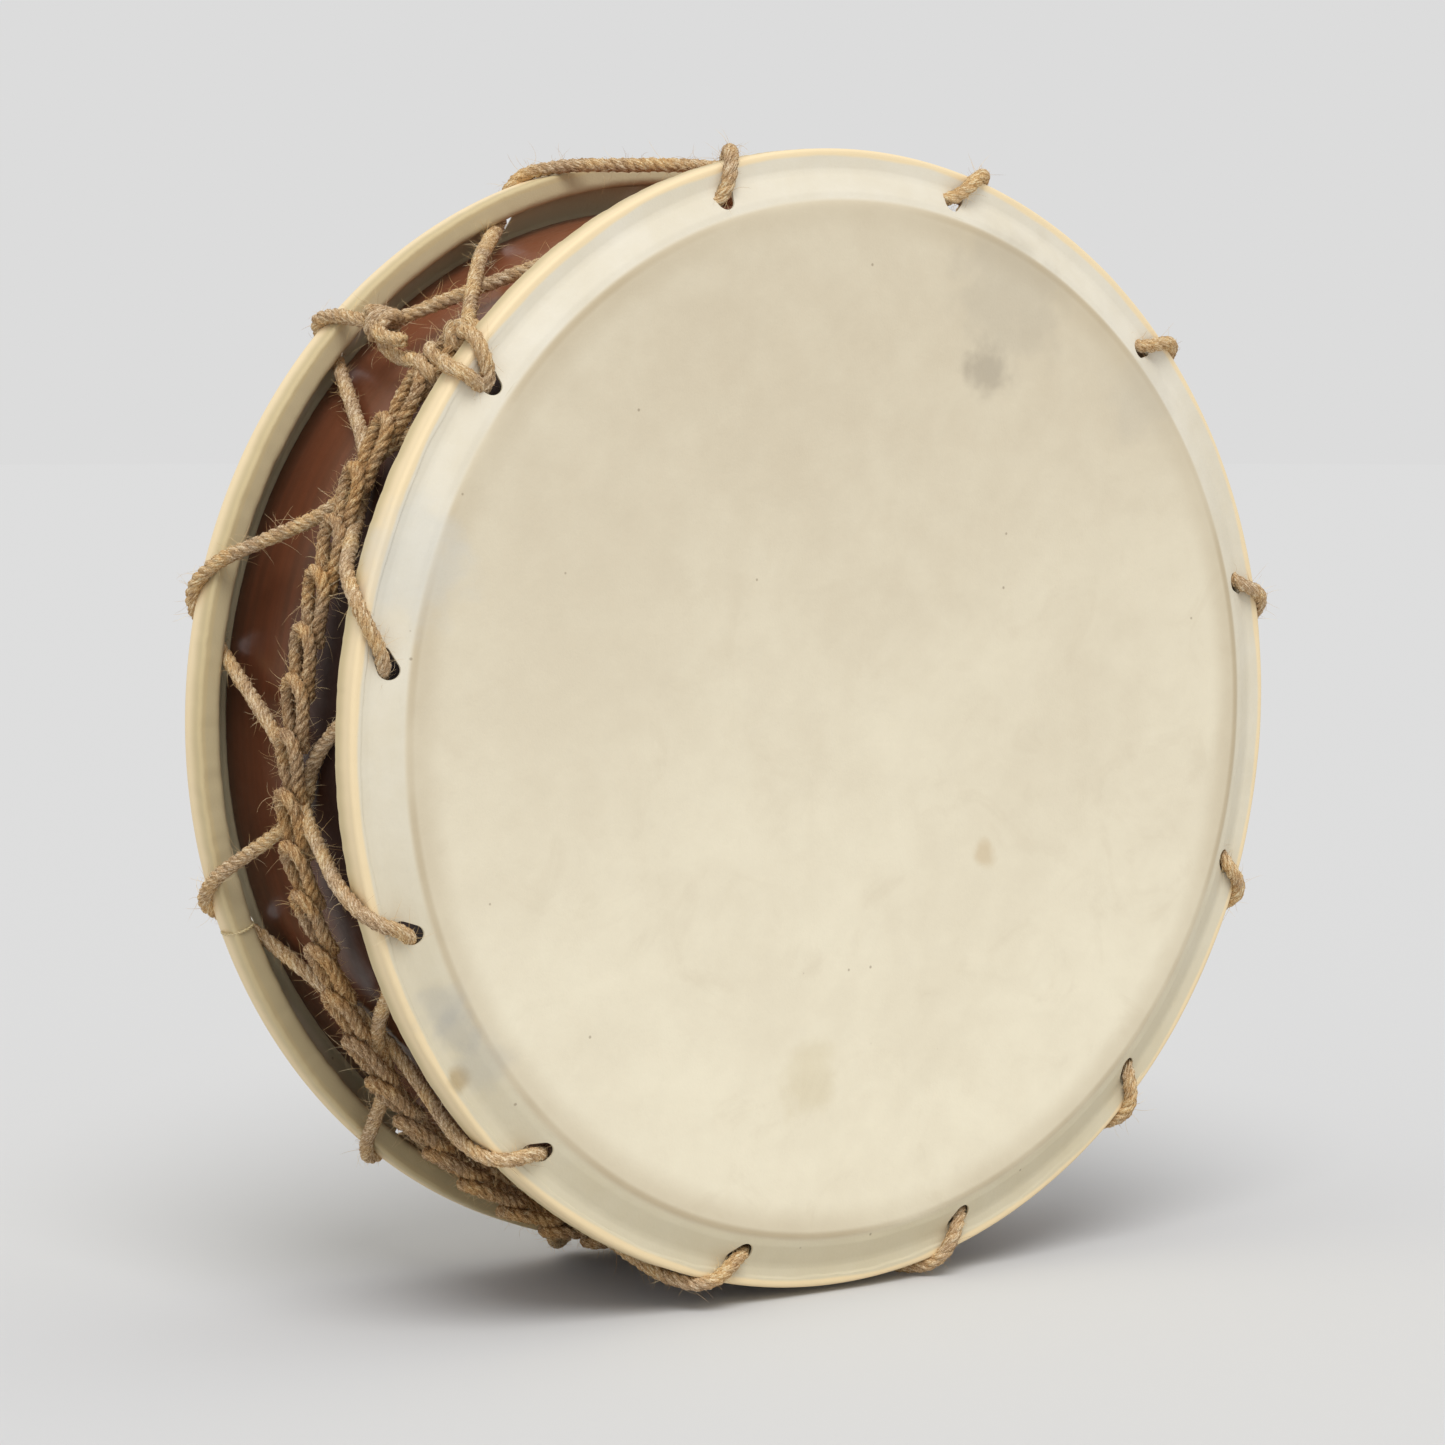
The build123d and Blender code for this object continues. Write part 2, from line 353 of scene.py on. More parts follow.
def spot_group() -> bpy.types.NodeTree:
    """A soft-edged spot round a centre, broken up by noise."""

    def fill(sheet: Sheet, entry: bpy.types.Node, leave: bpy.types.Node) -> None:
        """Distance to the centre, shifted by noise, as a share of the radius."""
        place = entry.outputs["Vector"]
        away = sheet.vector("DISTANCE", place, entry.outputs["Centre"]).outputs["Value"]
        share = sheet.math("DIVIDE", away, entry.outputs["Radius"])
        wander = sheet.math("MULTIPLY", sheet.math("SUBTRACT", sheet.noise(place, 90.0, 3), 0.5),
                            1.3)
        edge = sheet.math("ADD", share, wander)
        sheet.feed(leave.inputs["Mask"], sheet.math("SUBTRACT", 1.0, sheet.rise(edge, 0.35, 1.1)))

    return new_group("soft_spot", {"Vector": VECTOR, "Centre": VECTOR, "Radius": FLOAT},
                     {"Mask": FLOAT}, fill)


def speck_group() -> bpy.types.NodeTree:
    """Sparse tiny specks, on a few cells of a cell pattern."""

    def fill(sheet: Sheet, entry: bpy.types.Node, leave: bpy.types.Node) -> None:
        """A dot at the middle of the cells whose colour is above a threshold."""
        cells = sheet.node(
            "ShaderNodeTexVoronoi", {"Vector": entry.outputs["Vector"],
                                     "Scale": entry.outputs["Scale"]}
        )
        dot = sheet.math("SUBTRACT", 1.0, sheet.rise(cells.outputs["Distance"], 0.03, 0.07))
        pick = sheet.node("ShaderNodeSeparateXYZ", {0: cells.outputs["Color"]}).outputs[0]
        chosen = sheet.math("GREATER_THAN", pick, entry.outputs["Rarity"])
        sheet.feed(leave.inputs["Speck"], sheet.math("MULTIPLY", dot, chosen))

    return new_group("tiny_specks", {"Vector": VECTOR, "Scale": FLOAT, "Rarity": FLOAT},
                     {"Speck": FLOAT}, fill)


class Finish:
    """Base of the finishes: a material with one Principled shader, and its node sheet."""

    def start(self, name: str) -> tuple[bpy.types.Material, Sheet, bpy.types.Node]:
        """New material.

        Args:
            name: The material's name.

        Returns:
            The material, its node sheet and its Principled node.
        """
        material = bpy.data.materials.new(name)
        material.use_nodes = True
        sheet = Sheet(material.node_tree)
        shader = material.node_tree.nodes["Principled BSDF"]
        return material, sheet, shader

    def centred(self, sheet: Sheet, height: float) -> bpy.types.NodeSocket:
        """Object coordinates measured from the drum's axis."""
        place = sheet.node("ShaderNodeTexCoord").outputs["Object"]
        moved = sheet.node("ShaderNodeMapping", {"Vector": place, "Location": (0, 0, -height)})
        return moved.outputs[0]

    def grain(self, sheet: Sheet, place: object, scale: float, stretch: float) -> bpy.types.Node:
        """Wood fibres that run round the drum.

        Args:
            sheet: The material's node sheet.
            place: Point measured from the drum's axis.
            scale: Fineness of the fibres.
            stretch: How much finer they are across than along.

        Returns:
            The fibre group's node.
        """
        parts = sheet.node("ShaderNodeSeparateXYZ", {0: place}).outputs
        turned = sheet.node("ShaderNodeCombineXYZ", {0: parts[0], 1: parts[2], 2: parts[1]})
        return sheet.node(
            "ShaderNodeGroup", {"Vector": turned.outputs[0], "Scale": scale, "Stretch": stretch},
            node_tree=fibre_group(),
        )

    def bump(self, sheet: Sheet, shader: bpy.types.Node, height: object, depth: float) -> None:
        """Bump the shader's normal by a height, to a depth in metres."""
        made = sheet.node("ShaderNodeBump", {"Strength": 1.0, "Distance": depth, "Height": height})
        sheet.feed(shader.inputs["Normal"], made.outputs[0])


@dataclass(frozen=True)
class LacqueredWood(Finish):
    """Bent hardwood under red-brown lacquer, with painted light on its upper part and painted shade,
    darker and duller, along its front half.
    """

    height: float
    dark: Colour = srgb(52, 25, 13)
    red: Colour = srgb(80, 39, 21)
    # Pale colour for the painted light on the upper part and for the wood's paler patches.
    pale_and_lit: Colour = srgb(156, 96, 66)
    # Colour and reach of the painted shade on the shell near the front hoop.
    painted_shade: Colour = srgb(26, 14, 9)
    shade_from: float = 0.014
    shade_to: float = -0.012
    shade_low: tuple[float, float] = (-0.05, -0.11)
    shade_high: tuple[float, float] = (0.12, 0.165)
    painted_shade_share: float = 0.75
    lit_from: float = 0.02
    lit_to: float = 0.19
    lit_share: float = 0.55
    patch_share: float = 0.25
    grain_scale: float = 5.0
    grain_stretch: float = 26.0
    roughness: float = 0.34
    coat: float = 0.3

    def material(self) -> bpy.types.Material:
        """The finished material."""
        material, sheet, shader = self.start("lacquered_wood")
        place = self.centred(sheet, self.height)
        along, up = sheet.node("ShaderNodeSeparateXYZ", {0: place}).outputs[1:3]
        fibre = self.grain(sheet, place, self.grain_scale, self.grain_stretch)
        cloud = sheet.node("ShaderNodeGroup", {"Vector": place, "Scale": 6.0, "Fine": 0.25},
                           node_tree=cloud_group())
        tone = sheet.blend(fibre.outputs["Fibre"], self.dark, self.red)
        # Painted light: the upper part of the shell is blended towards the pale colour, as if lit
        # from above; the cloudy patches are the wood's own paler tone.
        lit = sheet.math("MULTIPLY", sheet.rise(up, self.lit_from, self.lit_to), self.lit_share)
        patch = sheet.math("MULTIPLY", cloud.outputs["Cloud"], self.patch_share)
        colour = sheet.blend(sheet.math("ADD", lit, patch), tone, self.pale_and_lit)
        # Painted shade: the shell darkens and loses its coat towards the front hoop, away from its
        # very top and bottom.
        unshaded = sheet.rise(along, self.shade_to, self.shade_from)
        unshaded = sheet.math("MAXIMUM", unshaded, sheet.rise(up, *self.shade_low))
        unshaded = sheet.math("MAXIMUM", unshaded, sheet.rise(up, *self.shade_high))
        painted_shade = sheet.math("MULTIPLY", sheet.math("SUBTRACT", 1.0, unshaded), self.painted_shade_share)
        sheet.feed(shader.inputs["Base Color"], sheet.blend(painted_shade, colour, self.painted_shade))
        scuffs = sheet.noise(place, 120.0, 4, 0.7)
        rough = sheet.span(scuffs, 0.35, 0.7, self.roughness - 0.06, self.roughness + 0.12)
        rough = sheet.math("ADD", rough, sheet.math("MULTIPLY", painted_shade, 0.5), clamp=True)
        sheet.feed(shader.inputs["Roughness"], rough)
        sheet.feed(shader.inputs["Coat Weight"], sheet.math("MULTIPLY", unshaded, self.coat))
        shader.inputs["Coat Roughness"].default_value = 0.2
        shader.inputs["Specular IOR Level"].default_value = 0.3
        self.bump(sheet, shader, fibre.outputs["Height"], 0.00008)
        return material


@dataclass(frozen=True)
class BareWood(Finish):
    """Pale unfinished wood of the hoops and of the rings inside the shell."""

    height: float
    light: Colour = srgb(196, 160, 112)
    dark: Colour = srgb(142, 104, 64)

    def material(self) -> bpy.types.Material:
        """The finished material."""
        material, sheet, shader = self.start("bare_wood")
        place = self.centred(sheet, self.height)
        fibre = self.grain(sheet, place, 9.0, 30.0)
        colour = sheet.blend(fibre.outputs["Fibre"], self.dark, self.light)
        sheet.feed(shader.inputs["Base Color"], colour)
        rough = sheet.span(sheet.noise(place, 60.0), 0.3, 0.7, 0.6, 0.8)
        sheet.feed(shader.inputs["Roughness"], rough)
        self.bump(sheet, shader, fibre.outputs["Height"], 0.0004)
        return material


@dataclass(frozen=True)
class Stain:
    """A soft stain on a head: its centre from the axis, its size, colour and strength."""

    centre: Spot
    radius: float
    colour: Colour
    strength: float


FRONT_STAINS = (
    Stain((0.0661, -0.069, 0.1374), 0.013, srgb(138, 126, 110), 0.42),
    Stain((0.079, -0.069, 0.166), 0.034, srgb(186, 176, 156), 0.34),
    Stain((0.150, -0.069, 0.126), 0.022, srgb(196, 188, 170), 0.3),
    Stain((0.0673, -0.069, -0.0562), 0.007, srgb(196, 168, 122), 0.42),
    Stain((-0.020, -0.069, -0.1387), 0.018, srgb(206, 190, 150), 0.3),
    Stain((-0.178, -0.0625, -0.124), 0.0065, srgb(168, 138, 82), 0.6),
    Stain((-0.186, -0.066, -0.0965), 0.012, srgb(172, 172, 168), 0.34),
    Stain((-0.180, -0.066, -0.106), 0.011, srgb(160, 160, 158), 0.34),
    Stain((-0.170, -0.067, -0.118), 0.014, srgb(176, 174, 166), 0.34),
    Stain((-0.199, -0.067, 0.069), 0.028, srgb(206, 206, 200), 0.4),
)


@dataclass(frozen=True)
class HidePlace:
    """Where a point of a skin lies, measured from the drum's axis, as node outputs."""

    whole: bpy.types.NodeSocket
    flat: bpy.types.NodeSocket
    radius: bpy.types.NodeSocket
    up: bpy.types.NodeSocket
    outward: bpy.types.NodeSocket


@dataclass(frozen=True)
class Rawhide(Finish):
    """Goat rawhide: cream and cloudy on the head, paler outside the crease, yellow on the lap."""

    name: str
    sizes: DrumSizes
    face: Face
    stains: tuple[Stain, ...] = ()
    cream: Colour = srgb(214, 201, 175)
    cream_pale: Colour = srgb(241, 232, 207)
    annulus: Colour = srgb(230, 223, 206)
    annulus_shaded: Colour = srgb(217, 207, 180)
    lap: Colour = srgb(243, 219, 174)
    lap_shade: Colour = srgb(196, 178, 134)
    under: Colour = srgb(196, 186, 154)
    crease: Colour = srgb(186, 168, 136)

    slope: float = 0.58
    speck: Colour = srgb(120, 98, 72)

    def places(self, sheet: Sheet) -> HidePlace:
        """Nodes that say where a point of the skin lies."""
        whole = self.centred(sheet, self.sizes.axis_height)
        flat = sheet.vector("MULTIPLY", whole, (1.0, 0.0, 1.0)).outputs[0]
        radius = sheet.vector("LENGTH", flat).outputs["Value"]
        along, up = sheet.node("ShaderNodeSeparateXYZ", {0: whole}).outputs[1:3]
        outward = sheet.math("MULTIPLY", along, float(self.face.value))
        return HidePlace(whole, flat, radius, up, outward)

    def beyond_crease(self, sheet: Sheet, at: HidePlace) -> bpy.types.NodeSocket:
        """1 outside the crease, 0 on the head."""
        crease = self.sizes.crease_radius
        return sheet.rise(at.radius, crease - 0.0008, crease + 0.0012)

    def hide(self, sheet: Sheet, at: HidePlace, veins: bpy.types.NodeSocket) -> bpy.types.NodeSocket:
        """Colour of the head, of the slope outside its crease and of the lap.

        Args:
            sheet: The material's node sheet.
            at: Where the point lies.
            veins: Height of the vein pattern.

        Returns:
            The colour.
        """
        sizes = self.sizes
        cloud = sheet.node("ShaderNodeGroup", {"Vector": at.whole, "Scale": 9.0, "Fine": 0.35},
                           node_tree=cloud_group()).outputs["Cloud"]
        # Painted light: the head is paler towards the bottom, as if lit by light thrown back from
        # the ground; the cloudy patches are the hide's own tone.
        paler = sheet.math("MULTIPLY", sheet.rise(at.up, 0.17, -0.15), 0.62)
        paler = sheet.math("ADD", paler, sheet.math("MULTIPLY", cloud, 0.38))
        head = sheet.blend(paler, self.cream, self.cream_pale)
        vein_share = sheet.math("MULTIPLY", sheet.rise(veins, 0.52, 0.7), 0.25)
        head = sheet.blend(vein_share, head, self.cream)
        # Painted shade: the slope outside the crease is darker towards the bottom, where it leans
        # away from the light above.
        ring = sheet.blend(sheet.rise(at.up, 0.10, -0.20), self.annulus, self.annulus_shaded)
        ring = sheet.blend(sheet.math("MULTIPLY", cloud, 0.3), ring, self.lap_shade)
        colour = sheet.blend(self.beyond_crease(sheet, at), head, ring)
        wander = sheet.math("SUBTRACT", sheet.noise(at.flat, 14.0, 4), 0.5)
        edge = sheet.math("ADD", at.radius, sheet.math("MULTIPLY", wander, 0.006))
        over = sheet.rise(edge, sizes.hoop_outer - 0.0036, sizes.hoop_outer - 0.0022)
        colour = sheet.blend(sheet.math("MULTIPLY", over, 0.85), colour, self.lap)
        behind = sheet.rise(at.outward, sizes.hoop_face - 0.003, sizes.hoop_face - 0.0095)
        return sheet.blend(sheet.math("MULTIPLY", behind, 0.8), colour, self.lap_shade)

    def underside(self, sheet: Sheet, at: HidePlace) -> bpy.types.NodeSocket:
        """1 on the inner face of the head and of its slope, 0 on the outer face."""
        sizes = self.sizes
        near, far = 0.7 * sizes.skin, 0.9 * sizes.skin
        leaning = sheet.math("ADD", at.outward, sheet.math("MULTIPLY", at.radius, self.slope))
        level = sizes.hoop_face + self.slope * (sizes.hoop_inner + sizes.hoop_corner / 2)
        below = sheet.rise(leaning, level - near, level - far)
        deep = sheet.rise(at.outward, sizes.head_plane - near, sizes.head_plane - far)
        inside = sheet.rise(at.radius, sizes.hoop_inner + 0.0004, sizes.hoop_inner - 0.0001)
        return sheet.math("MULTIPLY", below, sheet.math("MULTIPLY", deep, inside))

    def creased(self, sheet: Sheet, at: HidePlace,
                colour: bpy.types.NodeSocket) -> bpy.types.NodeSocket:
        """Darken the crease line in patches, and paint shade in a broad band inside it."""
        crease = self.sizes.crease_radius
        away = sheet.math("ABSOLUTE", sheet.math("SUBTRACT", at.radius, crease - 0.0014))
        line = sheet.math("SUBTRACT", 1.0, sheet.rise(away, 0.0003, 0.0024))
        patchy = sheet.rise(sheet.noise(at.flat, 7.0, 3), 0.35, 0.6)
        line = sheet.math("MULTIPLY", line, sheet.math("MULTIPLY", patchy, 0.7))
        colour = sheet.blend(line, colour, self.crease)
        # Painted shade: a soft broad band on the head just inside the crease, in patches.
        band = sheet.rise(at.radius, crease - 0.016, crease - 0.004)
        on_head = sheet.math("SUBTRACT", 1.0, self.beyond_crease(sheet, at))
        band = sheet.math("MULTIPLY", band, on_head)
        band = sheet.math("MULTIPLY", band, sheet.span(patchy, 0, 1, 0.18, 0.4))
        return sheet.blend(band, colour, self.crease)

    def marked(self, sheet: Sheet, at: HidePlace,
               colour: bpy.types.NodeSocket) -> bpy.types.NodeSocket:
        """Add the stains and the specks."""
        for stain in self.stains:
            spot = sheet.node(
                "ShaderNodeGroup",
                {"Vector": at.whole, "Centre": stain.centre, "Radius": stain.radius},
                node_tree=spot_group(),
            )
            mask = sheet.math("MULTIPLY", spot.outputs["Mask"], stain.strength)
            colour = sheet.blend(mask, colour, stain.colour)
        specks = sheet.node("ShaderNodeGroup", {"Vector": at.flat, "Scale": 90.0, "Rarity": 0.86},
                            node_tree=speck_group())
        mask = sheet.math("MULTIPLY", specks.outputs["Speck"], 0.5)
        return sheet.blend(mask, colour, self.speck)

    def material(self) -> bpy.types.Material:
        """The finished material."""
        material, sheet, shader = self.start(self.name)
        at = self.places(sheet)
        veins = sheet.noise(at.whole, 26.0, 6, 0.62, 1.4)
        colour = self.hide(sheet, at, veins)
        colour = sheet.blend(self.underside(sheet, at), colour, self.under)
        colour = self.creased(sheet, at, colour)
        sheet.feed(shader.inputs["Base Color"], self.marked(sheet, at, colour))
        sheet.feed(shader.inputs["Roughness"], sheet.span(veins, 0.3, 0.7, 0.5, 0.68))
        pores = sheet.noise(at.whole, 900.0, 3, 0.6)
        swell = sheet.noise(at.whole, 45.0, 3, 0.5)
        height = sheet.math("ADD", sheet.math("MULTIPLY", pores, 0.12), swell)
        self.bump(sheet, shader, height, 0.0006)
        shader.inputs["Specular IOR Level"].default_value = 0.35
        return material


@dataclass(frozen=True)
class Jute(Finish):
    """Dry tan fibre, read along each strand from the piece's own attribute."""

    name: str = "jute"
    light: Colour = srgb(242, 222, 190)
    middle: Colour = srgb(198, 165, 127)
    dark: Colour = srgb(118, 90, 62)
    bump_depth: float = 0.0008

    def material(self) -> bpy.types.Material:
        """The finished material."""
        material, sheet, shader = self.start(self.name)
        lay = sheet.node("ShaderNodeAttribute", attribute_name="lay").outputs["Vector"]
        fibre = sheet.node("ShaderNodeGroup", {"Vector": lay, "Scale": 3.2, "Stretch": 0.16},
                           node_tree=fibre_group())
        place = sheet.node("ShaderNodeTexCoord").outputs["Object"]
        dusty = sheet.noise(place, 55.0, 4, 0.6)
        tone = sheet.ramp(
            fibre.outputs["Fibre"],
            ((0.0, self.dark), (0.42, self.middle), (0.6, self.middle), (0.85, self.light)),
        )
        colour = sheet.blend(sheet.rise(dusty, 0.35, 0.7), tone, self.light, "SOFT_LIGHT")
        sheet.feed(shader.inputs["Base Color"], colour)
        sheet.feed(shader.inputs["Roughness"], sheet.span(dusty, 0.3, 0.7, 0.78, 0.92))
        shader.inputs["Specular IOR Level"].default_value = 0.2
        self.bump(sheet, shader, fibre.outputs["Height"], self.bump_depth)
        return material


@dataclass(frozen=True)
class PaleGround(Finish):
    """Plain pale ground under the drum."""

    tone: Colour = srgb(210, 210, 210)

    def material(self) -> bpy.types.Material:
        """The finished material."""
        material, sheet, shader = self.start("pale_ground")
        shader.inputs["Base Color"].default_value = self.tone
        shader.inputs["Roughness"].default_value = 0.95
        shader.inputs["Specular IOR Level"].default_value = 0.0
        return material


# ---------------------------------------------------------------- meshes in code


def new_piece(name: str, mesh: bpy.types.Mesh, material: bpy.types.Material) -> bpy.types.Object:
    """Object for a finished mesh, with its material.

    Args:
        name: The piece's name.
        mesh: Its mesh, in place.
        material: Its finish.

    Returns:
        The object, riding on the drum.
    """
    piece = bpy.data.objects.new(name, mesh)
    bpy.context.scene.collection.objects.link(piece)
    mesh.materials.clear()
    mesh.materials.append(material)
    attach(piece, ROOT)
    LOG.info("%s: %d faces", name, len(mesh.polygons))
    return piece


def smooth_line(name: str, route: Sequence[Vector], steps: int = 12) -> list[Vector]:
    """Points along the smooth curve of a route.

    Args:
        name: Name for the curve while it is read.
        route: The route's points, as the curve's control points.
        steps: Points between one control point and the next.

    Returns:
        The points read from the curve.
    """
    curve = bpy.data.curves.new(name, "CURVE")
    curve.dimensions = "3D"
    spline = curve.splines.new("NURBS")
    spline.points.add(len(route) - 1)
    for point, spot in zip(spline.points, route):
        point.co = (*spot, 1.0)
    spline.order_u = 3
    spline.use_endpoint_u = True
    spline.resolution_u = steps
    holder = bpy.data.objects.new(name, curve)
    mesh = bpy.data.meshes.new_from_object(holder)
    points = [vertex.co.copy() for vertex in mesh.vertices]
    bpy.data.objects.remove(holder)
    bpy.data.curves.remove(curve)
    bpy.data.meshes.remove(mesh)
    return points


def evenly(points: Sequence[Vector], spacing: float) -> list[Vector]:
    """The same line with points at an even spacing.

    Args:
        points: Points of a line.
        spacing: Distance between one point and the next.

    Returns:
        The new points, the two ends included.
    """
    runs = [(b - a).length for a, b in zip(points, points[1:])]
    total = sum(runs)
    count = max(2, round(total / spacing))
    line = [points[0].copy()]
    index, passed = 0, 0.0
    for step in range(1, count):
        target = total * step / count
        while passed + runs[index] < target:
            passed += runs[index]
            index += 1
        share = (target - passed) / max(runs[index], 1e-12)
        line.append(points[index].lerp(points[index + 1], share))
    line.append(points[-1].copy())
    return line


def line_length(points: Sequence[Vector]) -> float:
    """Length of a line of points."""
    return sum((b - a).length for a, b in zip(points, points[1:]))


def tangents(points: Sequence[Vector]) -> list[Vector]:
    """Direction of a line at each of its points."""
    last = len(points) - 1
    return [
        (points[min(i + 1, last)] - points[max(i - 1, 0)]).normalized()
        for i in range(len(points))
    ]


def carried_normals(points: Sequence[Vector]) -> list[Vector]:
    """Normals along a line that turn with it and never spin about it."""
    ahead = tangents(points)
    first = ahead[0].orthogonal().normalized()
    found = [first]
    for before, here in zip(ahead, ahead[1:]):
        turned = before.rotation_difference(here) @ found[-1]
        found.append((turned - here * turned.dot(here)).normalized())
    return found


@dataclass(frozen=True)
class RopeLay:
    """How a laid rope is made up: its strands, how they turn and how finely they are drawn."""

    strands: int = 3
    strand_radius: float = 0.00186
    centre_offset: float = 0.0012
    pitch: float = 0.0125
    sides: int = 8
    spacing: float = 0.0012
    fibre_twist: float = 420.0
    lumps: float = 0.16


class RopeMesh:
    """Collects the strands of one or several ropes into one mesh."""

    def __init__(self, lay: RopeLay) -> None:
        """Start empty, with the lay that all its ropes share."""
        self.lay = lay
        self.vertices: list[Vector] = []
        self.faces: list[tuple[int, ...]] = []
        self.lay_values: list[tuple[float, float, float]] = []

    def strand(self, line: Sequence[Vector], middle: Sequence[Vector], taper: float) -> None:
        """Add one strand as a closed tube.

        Args:
            line: The strand's own middle.
            middle: The rope's middle beside each of its points.
            taper: How much thinner the last few points get, as a share.
        """
        lay = self.lay
        ahead = tangents(line)
        start = len(self.vertices)
        last = len(line) - 1
        travelled = 0.0
        for i, (point, centre, forward) in enumerate(zip(line, middle, ahead)):
            if i:
                travelled += (point - line[i - 1]).length
            away = point - centre
            if away.length < 1e-6:
                away = forward.orthogonal()
            away = (away - forward * away.dot(forward)).normalized()
            side = forward.cross(away)
            lump = 1 + lay.lumps * (noise.noise(point * 170) + 0.6 * noise.noise(point * 620))
            near_end = min(i, last - i) / 3
            thin = 1 - taper * max(0.0, 1 - near_end)
            radius = lay.strand_radius * lump * thin
            for k in range(lay.sides):
                turn = 2 * math.pi * k / lay.sides
                offset = away * math.cos(turn) + side * math.sin(turn)
                self.vertices.append(point + offset * radius)
                fibre = turn + travelled * lay.fibre_twist
                self.lay_values.append(
                    (math.cos(fibre), math.sin(fibre), travelled / lay.strand_radius + start)
                )
        sides = lay.sides
        for i in range(last):
            for k in range(sides):
                a = start + i * sides + k
                b = start + i * sides + (k + 1) % sides
                self.faces.append((a, b, b + sides, a + sides))
        self.faces.append(tuple(start + k for k in reversed(range(sides))))
        self.faces.append(tuple(start + last * sides + k for k in range(sides)))

    def rope(self, points: Sequence[Vector], turn: float = 0.0, taper: float = 0.25) -> None:
        """Add a whole rope along a line.

        Args:
            points: The rope's middle.
            turn: Where its first strand starts round it, in radians.
            taper: How much thinner its ends get, as a share.
        """
        lay = self.lay
        line = evenly(points, lay.spacing)
        ahead = tangents(line)
        normals = carried_normals(line)
        for strand in range(lay.strands):
            middle, travelled = [], 0.0
            for i, (point, forward, normal) in enumerate(zip(line, ahead, normals)):
                if i:
                    travelled += (point - line[i - 1]).length
                angle = turn + 2 * math.pi * (strand / lay.strands + travelled / lay.pitch)
                side = forward.cross(normal)
                offset = normal * math.cos(angle) + side * math.sin(angle)
                middle.append(point + offset * lay.centre_offset)
            self.strand(middle, line, taper)

    def mesh(self, name: str) -> bpy.types.Mesh:
        """The collected mesh, smooth, with its lay attribute.

        Args:
            name: The mesh's name.

        Returns:
            The mesh.
        """
        made = bpy.data.meshes.new(name)
        made.from_pydata(self.vertices, [], self.faces)
        values = made.attributes.new("lay", "FLOAT_VECTOR", "POINT")
        values.data.foreach_set("vector", [n for value in self.lay_values for n in value])
        made.polygons.foreach_set("use_smooth", [True] * len(made.polygons))
        made.update()
        return made


@dataclass
class RopeFuzz:
    """Stray fibres that stand out of a rope, as one mesh of fine tapered hairs."""

    seed: int
    rope_radius: float
    per_metre: float = 1900.0
    hair_radius: float = 0.000065
    tip_share: float = 0.6
    shortest: float = 0.0014
    longest: float = 0.0115
    shortness: float = 2.3
    lean: float = 2.2
    curl: float = 0.5
    bend: float = 0.5
    segments: int = 4
    root_spacing: float = 0.002
    root_depth: float = 0.92
    sides: int = 3
    vertices: list[Vector] = field(init=False, default_factory=list)
    faces: list[tuple[int, ...]] = field(init=False, default_factory=list)
    values: list[float] = field(init=False, default_factory=list)

    def mesh(self, name: str, lines: Sequence[Sequence[Vector]],
             keep_off: Callable[[Vector], bool]) -> bpy.types.Mesh:
        """Hairs along some ropes.

        Args:
            name: The mesh's name.
            lines: The middle of each rope.
            keep_off: True for a point that a hair may not reach.

        Returns:
            The mesh.
        """
        chance = random.Random(self.seed)
        for points in lines:
            line = evenly(points, self.root_spacing)
            ahead = tangents(line)
            for _ in range(round(line_length(line) * self.per_metre)):
                index = chance.randrange(len(line))
                path = self.path(line[index], ahead[index], chance)
                if not any(keep_off(spot) for spot in path):
                    self.hair(path, chance.random())
        made = bpy.data.meshes.new(name)
        made.from_pydata(self.vertices, [], self.faces)
        attribute = made.attributes.new("lay", "FLOAT_VECTOR", "POINT")
        attribute.data.foreach_set("vector", self.values)
        made.update()
        return made

    def path(self, root: Vector, forward: Vector, chance: random.Random) -> list[Vector]:
        """Middle of one hair.

        Args:
            root: Point on the rope's middle where it starts.
            forward: The rope's direction there.
            chance: The piece's own source of chance.

        Returns:
            The hair's points, from the rope outwards.
        """
        out = Vector([chance.gauss(0, 1) for _ in range(3)])
        out = (out - forward * out.dot(forward)).normalized()
        length = chance.random() ** self.shortness
        length = self.shortest + (self.longest - self.shortest) * length
        lean = chance.uniform(-self.lean, self.lean)
        way = (out + forward * lean).normalized()
        curl = Vector([chance.gauss(0, self.curl) for _ in range(3)])
        point = root + out * self.rope_radius * self.root_depth
        path = [point]
        for _ in range(self.segments):
            way = (way + curl * self.bend).normalized()
            point = point + way * (length / self.segments)
            path.append(point)
        return path

    def hair(self, path: Sequence[Vector], shade: float) -> None:
        """Add one hair, three-sided and drawn to a point.

        Args:
            path: The hair's middle, from its root.
            shade: Picks this hair's place in the fibre pattern.
        """
        start, sides, last = len(self.vertices), self.sides, len(path) - 1
        ahead = tangents(path)
        side = ahead[0].orthogonal().normalized()
        for i, (point, forward) in enumerate(zip(path[:-1], ahead)):
            side = (side - forward * side.dot(forward)).normalized()
            cross = forward.cross(side)
            radius = self.hair_radius * (1 - self.tip_share * i / last)
            for k in range(sides):
                turn = 2 * math.pi * k / sides
                offset = side * math.cos(turn) + cross * math.sin(turn)
                self.vertices.append(point + offset * radius)
                self.values.extend((shade * 40, shade * 17, i * 0.3))
        self.vertices.append(path[-1])
        self.values.extend((shade * 40, shade * 17, last * 0.3))
        tip = start + last * sides
        for i in range(last):
            for k in range(sides):
                a, b = start + i * sides + k, start + i * sides + (k + 1) % sides
                self.faces.append((a, b, b + sides, a + sides) if i < last - 1 else (a, b, tip))
        self.faces.append(tuple(start + k for k in reversed(range(sides))))


